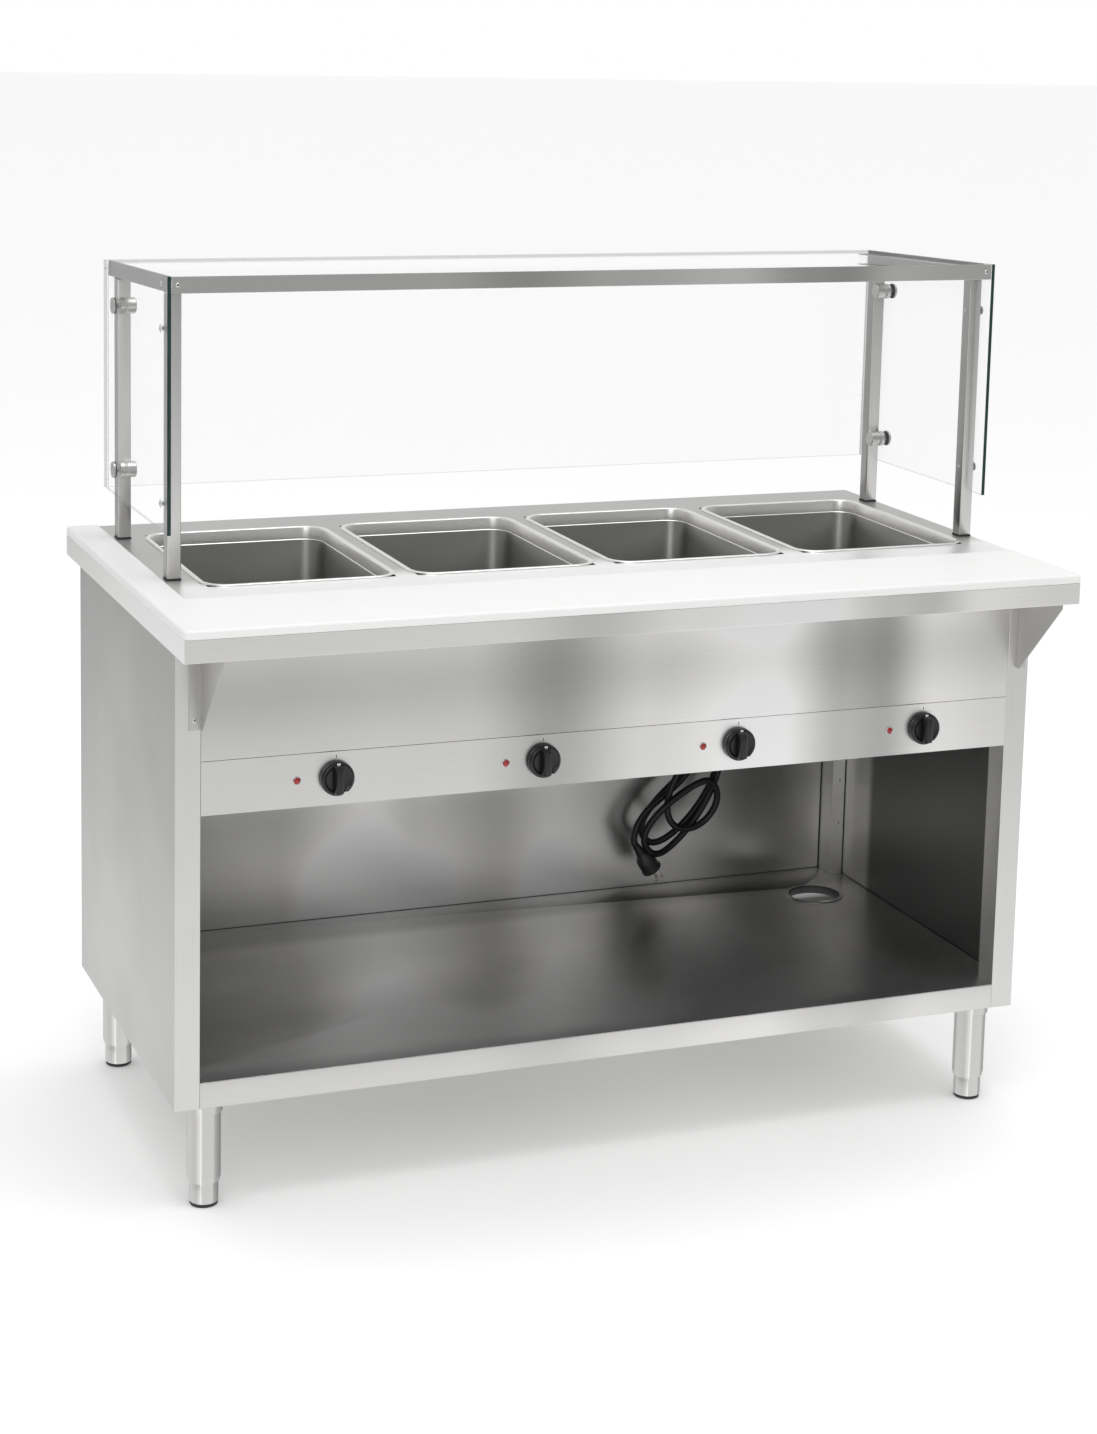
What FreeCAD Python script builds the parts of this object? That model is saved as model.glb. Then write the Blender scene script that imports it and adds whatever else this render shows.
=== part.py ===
"""Four-well electric hot food table with a glass food guard, as a parametric document.

Millimetres, +Z up.  X runs along the counter, Y from the server's side to the
customers' side, and the origin is the centre of the footprint on the floor.
"""
import FreeCAD, Part
import math
import os
import Sketcher

doc = FreeCAD.newDocument("hot_food_table")
dim = doc.addObject("Spreadsheet::Sheet", "dim")

# name, value in millimetres (angles in degrees), meaning
SIZES = [
    ("body_width", 1405, "cabinet, outside, along X"),
    ("body_depth", 650, "cabinet, outside, along Y"),
    ("work_height", 914.4, "floor to the top of the cutting board"),
    ("body_bottom", 163, "floor to the underside of the cabinet"),
    ("sheet_wall", 1.5, "stainless sheet"),
    ("fit_gap", 0.5, "clearance between sheets that are fitted together"),
    ("end_overhang", 22, "board past the cabinet's left side"),
    ("front_overhang", 140, "board past the cabinet's front"),
    ("front_board_width", 203, "cutting board along the front"),
    ("end_board_width", 51, "cutting board along the left end"),
    ("board_thick", 13, "cutting board"),
    ("trim_height", 33.4, "apron below the board"),
    ("trim_return", 18, "apron's bottom flange"),
    ("deck_drop", 2, "deck below the top of the board"),
    ("post_face", 38, "front corner post, seen from the front"),
    ("post_return", 45, "front corner post, front to back"),
    ("rear_flange", 25, "side panel's return on the customers' side"),
    ("rear_post_width", 26, "inner rear corner post, along X"),
    ("rear_post_depth", 46, "inner rear corner post, along Y"),
    ("panel_top", 687.5, "floor to the top of the control panel"),
    ("panel_bottom", 607, "floor to the bottom of the control panel"),
    ("panel_return", 20, "flanges of the fascia and the control panel"),
    ("shelf_top", 203, "floor to the top of the bottom shelf"),
    ("shelf_flange", 28, "shelf's down-turned side and rear edges"),
    ("port_radius", 44, "clear hole in the shelf's ring"),
    ("port_from_right", 108, "ring's centre from the cabinet's right side"),
    ("port_from_front", 504, "ring's centre from the cabinet's front"),
    ("port_rim", 6, "ring's flange"),
    ("port_sleeve", 12, "height of the ring"),
    ("well_count_pitch", 327, "from one well to the next"),
    ("first_well", 86, "cabinet's left side to the first well"),
    ("well_width", 290, "well opening along X"),
    ("well_depth", 406, "well opening along Y"),
    ("well_front", 144, "cabinet's front to the wells"),
    ("well_sink", 200, "deck to the well's floor"),
    ("well_radius", 34, "well's corner radius"),
    ("well_wall", 1, "well sheet"),
    ("well_rim", 7, "well's flange on the deck"),
    ("rim_height", 3, "well's flange above the deck"),
    ("heater_tube", 8, "heating element diameter"),
    ("heater_margin", 45, "element in from the well's walls"),
    ("knob_radius", 26, "knob"),
    ("knob_depth", 24, "knob, front to back"),
    ("knob_gap", 2, "knob to panel"),
    ("first_knob", 241, "cabinet's left side to the first knob"),
    ("knob_pitch", 325, "from one knob to the next"),
    ("knob_height", 648, "floor to the knobs' axes"),
    ("shaft_radius", 3, "control shaft"),
    ("run_clear", 0.05, "running clearance on the radius"),
    ("shaft_length", 34, "control shaft"),
    ("nose_radius", 5, "switch bushing"),
    ("switch_size", 44, "switch body, square"),
    ("switch_depth", 36, "switch body, front to back"),
    ("lamp_offset", 60, "knob to its pilot lamp"),
    ("lamp_radius", 6.3, "pilot lens"),
    ("lamp_body_radius", 5, "pilot lamp body"),
    ("leg_radius", 25.4, "leg tube"),
    ("leg_wall", 1.5, "leg tube wall"),
    ("leg_inset_x", 54, "leg's axis from the cabinet's sides"),
    ("leg_inset_y", 38, "leg's axis from the cabinet's front and back"),
    ("leg_bottom", 47, "floor to the leg tube"),
    ("taper_drop", 9, "tapered end of the leg"),
    ("collar_radius", 28.2, "leg collar"),
    ("plate_margin", 6, "leg plate beyond the collar"),
    ("collar_drop", 16, "leg collar below the cabinet"),
    ("foot_radius", 21.8, "levelling foot"),
    ("foot_travel", 25, "levelling foot's screw travel"),
    ("pad_thick", 5, "foot pad"),
    ("stem_radius", 8, "levelling foot's stem"),
    ("post_size", 22, "guard post, square"),
    ("post_margin", 7, "left posts from the board"),
    ("guard_front", 172, "cabinet's front to the guard's front"),
    ("guard_depth", 430, "guard, front to back"),
    ("guard_top", 1370, "floor to the top of the guard's front"),
    ("guard_fall", 15, "guard's top falls this much to the back"),
    ("rail_height", 25, "guard's top rail"),
    ("rail_depth", 25, "guard's front rail, front to back"),
    ("front_post_inset", 28, "guard's front to its front posts"),
    ("rear_post_inset", 360, "guard's front to its rear posts"),
    ("glass_thick", 6, "guard glass"),
    ("glass_bottom", 986, "floor to the hanging glass"),
    ("gasket_thick", 1, "clamp and post gaskets"),
    ("base_gasket", 2, "gasket under a guard post"),
    ("clamp_radius", 13, "rear glass clamp"),
    ("clamp_disc", 4, "clamp's outer disc"),
    ("clamp_low", 1028, "floor to the lower clamps"),
    ("clamp_high", 1290, "floor to the upper clamps"),
    ("cap_radius", 7, "front bolt cap"),
    ("bolt_radius", 3, "clamp bolt"),
    ("bracket_reach", 128, "counter bracket, along Y"),
    ("bracket_drop", 133, "counter bracket, along Z"),
    ("bracket_flange", 17, "counter bracket's flange on the post"),
    ("screw_radius", 3.6, "screw head"),
    ("screw_head", 1.4, "screw head's height"),
    ("cord_diameter", 12, "supply cord"),
    ("gland_x", 1142, "cabinet's left side to the cord gland"),
    ("gland_y", 588, "cabinet's front to the cord gland"),
    ("hank_low_x", 1030, "hank's lower end, from the cabinet's left side"),
    ("hank_low_z", 324, "hank's lower end, from the floor"),
    ("hank_high_x", 1116, "hank's upper end, from the cabinet's left side"),
    ("hank_high_z", 452, "hank's upper end, from the floor"),
    ("hank_radius", 50, "hank's half width"),
    ("hank_thick", 52, "hank, front to back"),
    ("plug_radius", 20, "plug body"),
    ("plug_length", 30, "plug body"),
    ("plug_left", 31, "plug's back to the left of the hank's lower end"),
    ("plug_drop", 51, "plug's back below the hank's lower end"),
    ("plug_lean", 35, "plug's axis from straight down, in degrees"),
    ("blade_length", 18, "plug blade"),
    ("pin_length", 21, "plug's round pin"),
    ("cord_seat", 1, "strap pressed into the hank"),
    ("gland_grip", 10, "cord held inside the gland's nose"),
    ("gland_nose", 32, "gland below the housing floor"),
    ("box_width", 110, "junction box along X"),
    ("box_depth", 84, "junction box along Y"),
    ("box_height", 48, "junction box"),
]
for row, (alias, value, meaning) in enumerate(SIZES, start=1):
    dim.set(f"A{row}", meaning)
    dim.set(f"B{row}", str(value))
    dim.setAlias(f"B{row}", alias)
doc.recompute()

# Formulas for the places that several pieces share.
RIGHT_PROUD = "(dim.fit_gap + dim.glass_thick + dim.gasket_thick + dim.clamp_disc)"
LEFT = f"(-(dim.body_width + {RIGHT_PROUD} - dim.end_overhang) / 2)"
FRONT = "(-(dim.body_depth - dim.front_overhang) / 2)"
RIGHT = f"({LEFT} + dim.body_width)"
BACK = f"({FRONT} + dim.body_depth)"
WALL = "dim.sheet_wall"
BOARD_LEFT = f"({LEFT} - dim.end_overhang)"
BOARD_FRONT = f"({FRONT} - dim.front_overhang)"
DECK_LEFT = f"({BOARD_LEFT} + dim.end_board_width)"
DECK_FRONT = f"({BOARD_FRONT} + dim.front_board_width)"
DECK_TOP = "(dim.work_height - dim.deck_drop)"
TRIM_TOP = "(dim.work_height - dim.board_thick)"
BODY_TOP = f"({TRIM_TOP} - dim.trim_height)"
INNER_BACK = f"({BACK} - 2 * {WALL})"
GUARD_FRONT = f"({FRONT} + dim.guard_front)"
GUARD_BACK = f"({GUARD_FRONT} + dim.guard_depth)"
GUARD_LEFT = f"({DECK_LEFT} + dim.post_margin)"
GUARD_RIGHT = RIGHT
FRONT_POST = f"({GUARD_FRONT} + dim.front_post_inset)"
REAR_POST = f"({GUARD_FRONT} + dim.rear_post_inset)"
KNOB_AXIS = "dim.knob_height"
WELLS = range(4)
SIDES = ("left", "right")


def number(formula):
    """The present value of a formula of sheet cells."""
    return float(dim.evalExpression(formula))


def bind(target, **formulas):
    """Bind properties to formulas; a double underscore stands for a dot."""
    for name, formula in formulas.items():
        target.setExpression(name.replace("__", "."), formula)
    return target


def place(target, x="0", y="0", z="0"):
    return bind(target, Placement__Base__x=x, Placement__Base__y=y, Placement__Base__z=z)


def body(label):
    made = doc.addObject("PartDesign::Body", label)
    made.Label = label
    return made


def origin_plane(owner, role):
    return next(item for item in owner.Origin.OriginFeatures if item.Role == role)


def sketch_on(owner, role, offset):
    made = owner.newObject("Sketcher::SketchObject", "Sketch")
    made.AttachmentSupport = [(origin_plane(owner, role), "")]
    made.MapMode = "FlatFace"
    made.setExpression("AttachmentOffset.Base.z", offset)
    return made


def pin(sketch, geometry, point, formulas):
    """Tie a point of the sketch to a pair of formulas."""
    for kind, formula in zip(("DistanceX", "DistanceY"), formulas):
        held = Sketcher.Constraint(kind, -1, 1, geometry, point, number(formula))
        index = sketch.addConstraint(held)
        sketch.setExpression(f"Constraints[{index}]", formula)


def outline(sketch, corners):
    """A closed polygon through corners given as pairs of formulas."""
    first = sketch.GeometryCount
    spots = [FreeCAD.Vector(number(x), number(y), 0) for x, y in corners]
    count = len(spots)
    for index in range(count):
        following = spots[(index + 1) % count]
        sketch.addGeometry(Part.LineSegment(spots[index], following))
    for index in range(count):
        after = first + (index + 1) % count
        sketch.addConstraint(Sketcher.Constraint("Coincident", first + index, 2, after, 1))
    for index in range(count):
        pin(sketch, first + index, 1, corners[index])


def circle(sketch, centre, radius):
    spot = FreeCAD.Vector(number(centre[0]), number(centre[1]), 0)
    index = sketch.addGeometry(Part.Circle(spot, FreeCAD.Vector(0, 0, 1), number(radius)))
    pin(sketch, index, 3, centre)
    held = sketch.addConstraint(Sketcher.Constraint("Radius", index, number(radius)))
    sketch.setExpression(f"Constraints[{held}]", radius)


def oblong(x_low, x_high, y_low, y_high):
    return [(x_low, y_low), (x_high, y_low), (x_high, y_high), (x_low, y_high)]


def pad(owner, role, offset, corners, length, holes=()):
    """Extrude an outline, with round holes, from a plane of its own body."""
    sketch = sketch_on(owner, role, offset)
    outline(sketch, corners)
    for centre, radius in holes:
        circle(sketch, centre, radius)
    made = owner.newObject("PartDesign::Pad", "Pad")
    made.Profile = sketch
    made.setExpression("Length", length)
    doc.recompute()
    return made


def pad_round(owner, role, offset, centre, radius, length, bore=None):
    sketch = sketch_on(owner, role, offset)
    circle(sketch, centre, radius)
    if bore:
        circle(sketch, centre, bore)
    made = owner.newObject("PartDesign::Pad", "Pad")
    made.Profile = sketch
    made.setExpression("Length", length)
    doc.recompute()
    return made


def pocket(owner, role, offset, corners, length, back=False):
    """Cut an outline out of a body, and make sure that it cut something."""
    before = owner.Shape.Volume
    sketch = sketch_on(owner, role, offset)
    outline(sketch, corners)
    made = owner.newObject("PartDesign::Pocket", "Pocket")
    made.Profile = sketch
    made.Reversed = back
    made.setExpression("Length", length)
    doc.recompute()
    if owner.Shape.Volume >= before:
        raise RuntimeError(f"{owner.Label}: a pocket cut nothing")
    return made


def pocket_round(owner, role, offset, centre, radius, length, back=False):
    before = owner.Shape.Volume
    sketch = sketch_on(owner, role, offset)
    circle(sketch, centre, radius)
    made = owner.newObject("PartDesign::Pocket", "Pocket")
    made.Profile = sketch
    made.Reversed = back
    made.setExpression("Length", length)
    doc.recompute()
    if owner.Shape.Volume >= before:
        raise RuntimeError(f"{owner.Label}: a round pocket cut nothing")
    return made


def round_uprights(owner, feature, radius):
    """Round the vertical edges of a body's last feature."""
    names = []
    for index, edge in enumerate(feature.Shape.Edges, start=1):
        along = edge.tangentAt(edge.FirstParameter)
        if abs(along.z) > 0.999 and edge.Length > number(radius):
            names.append(f"Edge{index}")
    made = owner.newObject("PartDesign::Fillet", "Fillet")
    made.Base = (feature, names)
    made.setExpression("Radius", radius)
    doc.recompute()
    return made


def turned(label, profile, axis_at=("0", "0", "0")):
    """A body turned about a vertical axis from radius and height pairs."""
    made = body(label)
    turn_profile(made, profile)
    place(made, *axis_at)
    return made


def turn_profile(owner, profile):
    sketch = sketch_on(owner, "XZ_Plane", "0")
    outline(sketch, profile)
    made = owner.newObject("PartDesign::Revolution", "Revolution")
    made.Profile = sketch
    made.ReferenceAxis = (sketch, ["V_Axis"])
    made.Angle = 360
    doc.recompute()
    return made


def block(name, size, at):
    made = doc.addObject("Part::Box", name)
    bind(made, Length=size[0], Width=size[1], Height=size[2])
    return place(made, *at)


AXES = {
    "x": FreeCAD.Rotation(FreeCAD.Vector(0, 1, 0), 90),
    "y": FreeCAD.Rotation(FreeCAD.Vector(1, 0, 0), -90),
    "z": FreeCAD.Rotation(),
}


def rod(name, radius, length, at, axis):
    """A cylinder that starts at a point and runs towards +X, +Y or +Z."""
    made = doc.addObject("Part::Cylinder", name)
    made.Placement.Rotation = AXES[axis]
    bind(made, Radius=radius, Height=length)
    return place(made, *at)


def joined(label, pieces):
    """Several solids fused into one object."""
    made = doc.addObject("Part::MultiFuse", label)
    made.Label = label
    made.Shapes = pieces
    return made


def group(label, pieces):
    """Like pieces that stay separate solids in one object."""
    made = doc.addObject("Part::Compound", label)
    made.Label = label
    made.Links = pieces
    return made


def cut(name, base, tool):
    made = doc.addObject("Part::Cut", name)
    made.Label = name
    made.Base = base
    made.Tool = tool
    return made


# ---------------------------------------------------------------- cabinet


def side_panel(side):
    """A folded side: outer skin, front corner post and rear return."""
    sign = {"left": "", "right": "-"}[side]
    edge = {"left": LEFT, "right": RIGHT}[side]

    def across(formula):
        return f"{edge} + {sign}({formula})"

    outer = across("0")
    skin = across(WALL)
    post = across("dim.post_face")
    post_inside = across(f"dim.post_face - {WALL}")
    flange = across("dim.rear_flange")
    corners = [
        (outer, FRONT),
        (post, FRONT),
        (post, f"{FRONT} + dim.post_return"),
        (post_inside, f"{FRONT} + dim.post_return"),
        (post_inside, f"{FRONT} + {WALL}"),
        (skin, f"{FRONT} + {WALL}"),
        (skin, f"{BACK} - {WALL}"),
        (flange, f"{BACK} - {WALL}"),
        (flange, BACK),
        (outer, BACK),
    ]
    made = body(f"side_panel_{side}")
    pad(made, "XY_Plane", "dim.body_bottom", corners, f"{BODY_TOP} - dim.body_bottom")
    return made


def back_panel():
    made = body("back_panel")
    sheet = oblong(f"{LEFT} + {WALL}", f"{RIGHT} - {WALL}", INNER_BACK, f"{BACK} - {WALL}")
    pad(made, "XY_Plane", "dim.body_bottom", sheet, f"{BODY_TOP} - dim.body_bottom")
    return made


def rear_post(side):
    """Angle post in an inner rear corner, from the shelf to the deck."""
    sign = {"left": "", "right": "-"}[side]
    edge = {"left": LEFT, "right": RIGHT}[side]

    def across(formula):
        return f"{edge} + {sign}({formula})"

    near = across(WALL)
    far = across(f"{WALL} + dim.rear_post_width")
    far_inside = across("dim.rear_post_width")
    front = f"{INNER_BACK} - dim.rear_post_depth"
    corners = [
        (near, front),
        (far, front),
        (far, INNER_BACK),
        (far_inside, INNER_BACK),
        (far_inside, f"{front} + {WALL}"),
        (near, f"{front} + {WALL}"),
    ]
    made = body(f"rear_post_{side}")
    pad(made, "XY_Plane", "dim.shelf_top", corners, f"{BODY_TOP} - dim.shelf_top")
    return made


def bottom_shelf():
    """Flat shelf with a deep front lip, down-turned edges and a round port."""
    made = body("bottom_shelf")
    x_low = f"{LEFT} + {WALL}"
    x_high = f"{RIGHT} - {WALL}"
    post_left = f"{LEFT} + dim.post_face"
    post_right = f"{RIGHT} - dim.post_face"
    notch = f"{FRONT} + dim.post_return + dim.fit_gap"
    corners = [
        (post_left, FRONT),
        (post_right, FRONT),
        (post_right, notch),
        (x_high, notch),
        (x_high, INNER_BACK),
        (x_low, INNER_BACK),
        (x_low, notch),
        (post_left, notch),
    ]
    port = (f"{RIGHT} - dim.port_from_right", f"{FRONT} + dim.port_from_front")
    top = f"dim.shelf_top - {WALL}"
    sleeve_radius = f"dim.port_radius + {WALL} + dim.fit_gap"
    pad(made, "XY_Plane", top, corners, WALL, holes=[(port, sleeve_radius)])
    lip_low = "dim.body_bottom"
    lip = oblong(post_left, post_right, FRONT, f"{FRONT} + {WALL}")
    pad(made, "XY_Plane", lip_low, lip, f"dim.shelf_top - {lip_low}")
    turn = oblong(post_left, post_right, FRONT, f"{FRONT} + dim.trim_return")
    pad(made, "XY_Plane", lip_low, turn, WALL)
    flange_low = "dim.shelf_top - dim.shelf_flange"
    edges = [
        oblong(x_low, f"{x_low} + {WALL}", notch, INNER_BACK),
        oblong(f"{x_high} - {WALL}", x_high, notch, INNER_BACK),
        oblong(x_low, x_high, f"{INNER_BACK} - {WALL}", INNER_BACK),
    ]
    for edge in edges:
        pad(made, "XY_Plane", flange_low, edge, "dim.shelf_flange")
    return made


def shelf_port_ring():
    """Bright ring that lines the port: a thin flange on a short sleeve."""
    inner = "dim.port_radius"
    sleeve = f"dim.port_radius + {WALL}"
    flange = f"{sleeve} + dim.port_rim"
    profile = [
        (inner, "dim.shelf_top - dim.port_sleeve"),
        (sleeve, "dim.shelf_top - dim.port_sleeve"),
        (sleeve, "dim.shelf_top"),
        (flange, "dim.shelf_top"),
        (flange, f"dim.shelf_top + {WALL}"),
        (inner, f"dim.shelf_top + {WALL}"),
    ]
    centre = (f"{RIGHT} - dim.port_from_right", f"{FRONT} + dim.port_from_front", "0")
    return turned("shelf_port_ring", profile, centre)


def leg_spots():
    """Leg axes in the order front left, front right, rear left, rear right."""
    for y in (f"{FRONT} + dim.leg_inset_y", f"{BACK} - dim.leg_inset_y"):
        for x in (f"{LEFT} + dim.leg_inset_x", f"{RIGHT} - dim.leg_inset_x"):
            yield x, y


def leg_plates():
    """A folded plate under each corner of the shelf, which carries a leg."""
    made = []
    low = "dim.body_bottom"
    tall = f"dim.shelf_top - {WALL} - ({low})"
    for index, (x, y) in enumerate(leg_spots()):
        right = index % 2 == 1
        rear = index >= 2
        x_sign = "-" if right else ""
        y_sign = "-" if rear else ""
        x_edge = RIGHT if right else LEFT
        y_edge = INNER_BACK if rear else FRONT
        near_x = f"{x_edge} + {x_sign}(dim.post_face + dim.fit_gap)"
        far_x = f"{x} + {x_sign}(dim.collar_radius + dim.plate_margin)"
        web_x = f"{far_x} - {x_sign}({WALL})"
        near_y = f"{y_edge} + {y_sign}(dim.trim_return + dim.fit_gap)"
        far_y = f"{y} + {y_sign}(dim.collar_radius + dim.plate_margin)"
        web_y = f"{far_y} - {y_sign}({WALL})"
        if rear:
            near_x = f"{x_edge} + {x_sign}(2 * {WALL} + dim.fit_gap)"
            near_y = f"{y_edge} - ({WALL} + dim.fit_gap)"
        owner = doc.addObject("PartDesign::Body", f"leg_plate_{index + 1}")
        pad(owner, "XY_Plane", low, oblong(near_x, far_x, near_y, far_y), WALL)
        pad(owner, "XY_Plane", low, oblong(web_x, far_x, near_y, far_y), tall)
        pad(owner, "XY_Plane", low, oblong(near_x, far_x, web_y, far_y), tall)
        made.append(owner)
    return group("leg_plates", made)


def front_sheet(label, low, high, holes=()):
    """Face between the corner posts, with flanges turned in at both edges."""
    x_low = f"{LEFT} + dim.post_face"
    width = "dim.body_width - 2 * dim.post_face"
    made = body(label)
    y_in = f"{FRONT} + dim.panel_return"
    skin = f"{FRONT} + {WALL}"
    section = [
        (FRONT, low),
        (y_in, low),
        (y_in, f"{low} + {WALL}"),
        (skin, f"{low} + {WALL}"),
        (skin, f"{high} - {WALL}"),
        (y_in, f"{high} - {WALL}"),
        (y_in, high),
        (FRONT, high),
    ]
    pad(made, "YZ_Plane", x_low, section, width)
    for centre, radius in holes:
        pocket_round(made, "XZ_Plane", f"-({FRONT}) + 1", centre, radius, f"{WALL} + 2")
    return made


def knob_x(index):
    return f"{LEFT} + dim.first_knob + {index} * dim.knob_pitch"


def lamp_x(index):
    return f"{knob_x(index)} - dim.lamp_offset"


def front_panels():
    gap = "dim.fit_gap"
    front_sheet("front_fascia", f"dim.panel_top + {gap}", BODY_TOP)
    holes = []
    for index in WELLS:
        holes.append(((knob_x(index), KNOB_AXIS), "dim.nose_radius + dim.fit_gap"))
        holes.append(((lamp_x(index), KNOB_AXIS), "dim.lamp_body_radius + dim.fit_gap"))
    front_sheet("control_panel", "dim.panel_bottom", "dim.panel_top", holes)


def housing_floor():
    """Pan that closes the space under the wells; the cord leaves through it."""
    made = body("housing_floor")
    low = f"dim.panel_bottom + {WALL}"
    x_low = f"{LEFT} + dim.post_face + dim.fit_gap"
    x_high = f"{RIGHT} - dim.post_face - dim.fit_gap"
    y_low = f"{FRONT} + {WALL} + dim.fit_gap"
    y_high = f"{INNER_BACK} - dim.fit_gap"
    gland = (f"{LEFT} + dim.gland_x", f"{FRONT} + dim.gland_y")
    hole = "dim.cord_diameter / 2 + 4"
    pad(made, "XY_Plane", low, oblong(x_low, x_high, y_low, y_high), WALL, [(gland, hole)])
    return made


# ---------------------------------------------------------------- counter


def deck():
    """Top sheet with a skirt at the right and back, open over each well."""
    made = body("deck")
    under = f"{DECK_TOP} - {WALL}"
    right_in = f"{RIGHT} - {WALL}"
    back_in = f"{BACK} - {WALL}"
    sheet = oblong(DECK_LEFT, RIGHT, DECK_FRONT, BACK)
    pad(made, "XY_Plane", under, sheet, WALL)
    skirt_drop = f"{DECK_TOP} - {BODY_TOP}"
    pad(made, "XY_Plane", BODY_TOP, oblong(right_in, RIGHT, DECK_FRONT, BACK), skirt_drop)
    pad(made, "XY_Plane", BODY_TOP, oblong(DECK_LEFT, RIGHT, back_in, BACK), skirt_drop)
    inner_left = f"{DECK_LEFT} + {WALL}"
    inner_front = f"{DECK_FRONT} + {WALL}"
    pad(made, "XY_Plane", TRIM_TOP, oblong(DECK_LEFT, inner_left, DECK_FRONT, BACK),
        f"{DECK_TOP} - {TRIM_TOP}")
    pad(made, "XY_Plane", TRIM_TOP, oblong(DECK_LEFT, RIGHT, DECK_FRONT, inner_front),
        f"{DECK_TOP} - {TRIM_TOP}")
    for index in WELLS:
        x_low = f"{LEFT} + dim.first_well + {index} * dim.well_count_pitch - dim.well_wall"
        y_low = f"{FRONT} + dim.well_front - dim.well_wall"
        margin = "dim.fit_gap"
        opening = oblong(f"{x_low} - {margin}",
                         f"{x_low} + dim.well_width + 2 * dim.well_wall + {margin}",
                         f"{y_low} - {margin}",
                         f"{y_low} + dim.well_depth + 2 * dim.well_wall + {margin}")
        pocket(made, "XY_Plane", f"{DECK_TOP} + 1", opening, f"{WALL} + 2")
    return made


def well(index):
    """Deep drawn pan with rounded corners, hung from its flange on the deck."""
    made = body(f"well_{index + 1}")
    wide = "dim.well_width"
    deep = "dim.well_depth"
    wall = "dim.well_wall"
    outside = oblong(f"-{wall}", f"{wide} + {wall}", f"-{wall}", f"{deep} + {wall}")
    shell = pad(made, "XY_Plane", "-dim.well_sink", outside, "dim.well_sink")
    round_uprights(made, shell, f"dim.well_radius + {wall}")
    rim = f"{wall} + dim.well_rim"
    flange = oblong(f"-({rim})", f"{wide} + {rim}", f"-({rim})", f"{deep} + {rim}")
    pad(made, "XY_Plane", "0", flange, "dim.rim_height")
    hollow = doc.addObject("PartDesign::Body", f"well_hollow_{index + 1}")
    core = pad(hollow, "XY_Plane", f"-dim.well_sink + {wall}", oblong("0", wide, "0", deep),
               "dim.well_sink + dim.rim_height + 1")
    round_uprights(hollow, core, "dim.well_radius")
    taken = made.newObject("PartDesign::Boolean", "Hollow")
    taken.Type = "Cut"
    taken.addObject(hollow)
    place(made, f"{LEFT} + dim.first_well + {index} * dim.well_count_pitch",
          f"{FRONT} + dim.well_front", DECK_TOP)
    doc.recompute()
    return made


def heating_elements():
    """A rectangular tube element against the floor of each well."""
    made = []
    radius = number("dim.heater_tube") / 2
    margin = number("dim.heater_margin")
    bend = number("dim.well_radius")
    x_high = number("dim.well_width") - margin
    y_high = number("dim.well_depth") - margin
    z = -number("dim.well_sink") - radius
    for index in WELLS:
        spots = [(margin, margin), (x_high, margin), (x_high, y_high), (margin, y_high)]
        corners = [FreeCAD.Vector(x, y, z) for x, y in spots]
        path = Part.Wire(rounded_loop(corners, bend))
        start = path.Edges[0].firstVertex().Point
        heading = path.Edges[0].tangentAt(path.Edges[0].FirstParameter)
        profile = Part.Wire(Part.makeCircle(radius, start, heading))
        ring = path.makePipeShell([profile], True, False)
        item = doc.addObject("Part::Feature", f"heater_{index + 1}")
        item.Shape = ring
        place(item, f"{LEFT} + dim.first_well + {index} * dim.well_count_pitch",
              f"{FRONT} + dim.well_front", DECK_TOP)
        made.append(item)
    return group("heating_elements", made)


def rounded_loop(corners, bend):
    """Lines and tangent arcs round a closed run of corners."""
    count = len(corners)
    edges = []
    for index in range(count):
        here = corners[index]
        before = (corners[index - 1] - here).normalize()
        after = (corners[(index + 1) % count] - here).normalize()
        enter = here + before * bend
        leave = here + after * bend
        middle = here + (before + after) * (bend * (1 - math.sqrt(0.5)))
        edges.append(Part.Arc(enter, middle, leave).toShape())
        following = corners[(index + 1) % count]
        edges.append(Part.LineSegment(leave, following - after * bend).toShape())
    return edges


def trim_front():
    """Apron channel under the front board, face to the server."""
    made = body("trim_front")
    back = f"{BOARD_FRONT} + dim.trim_return"
    skin = f"{BOARD_FRONT} + {WALL}"
    section = [
        (BOARD_FRONT, BODY_TOP),
        (back, BODY_TOP),
        (back, f"{BODY_TOP} + {WALL}"),
        (skin, f"{BODY_TOP} + {WALL}"),
        (skin, f"{TRIM_TOP} - {WALL}"),
        (DECK_FRONT, f"{TRIM_TOP} - {WALL}"),
        (DECK_FRONT, TRIM_TOP),
        (BOARD_FRONT, TRIM_TOP),
    ]
    start = f"{BOARD_LEFT} + {WALL}"
    pad(made, "YZ_Plane", start, section, f"{RIGHT} - ({start})")
    edge = f"{LEFT} + dim.end_board_width - dim.end_overhang"
    top_cut = oblong(f"{start} - 1", edge, f"{back} + dim.fit_gap", f"{DECK_FRONT} + 1")
    pocket(made, "XY_Plane", f"{TRIM_TOP} + 1", top_cut, f"{WALL} + 2")
    return made


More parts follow.
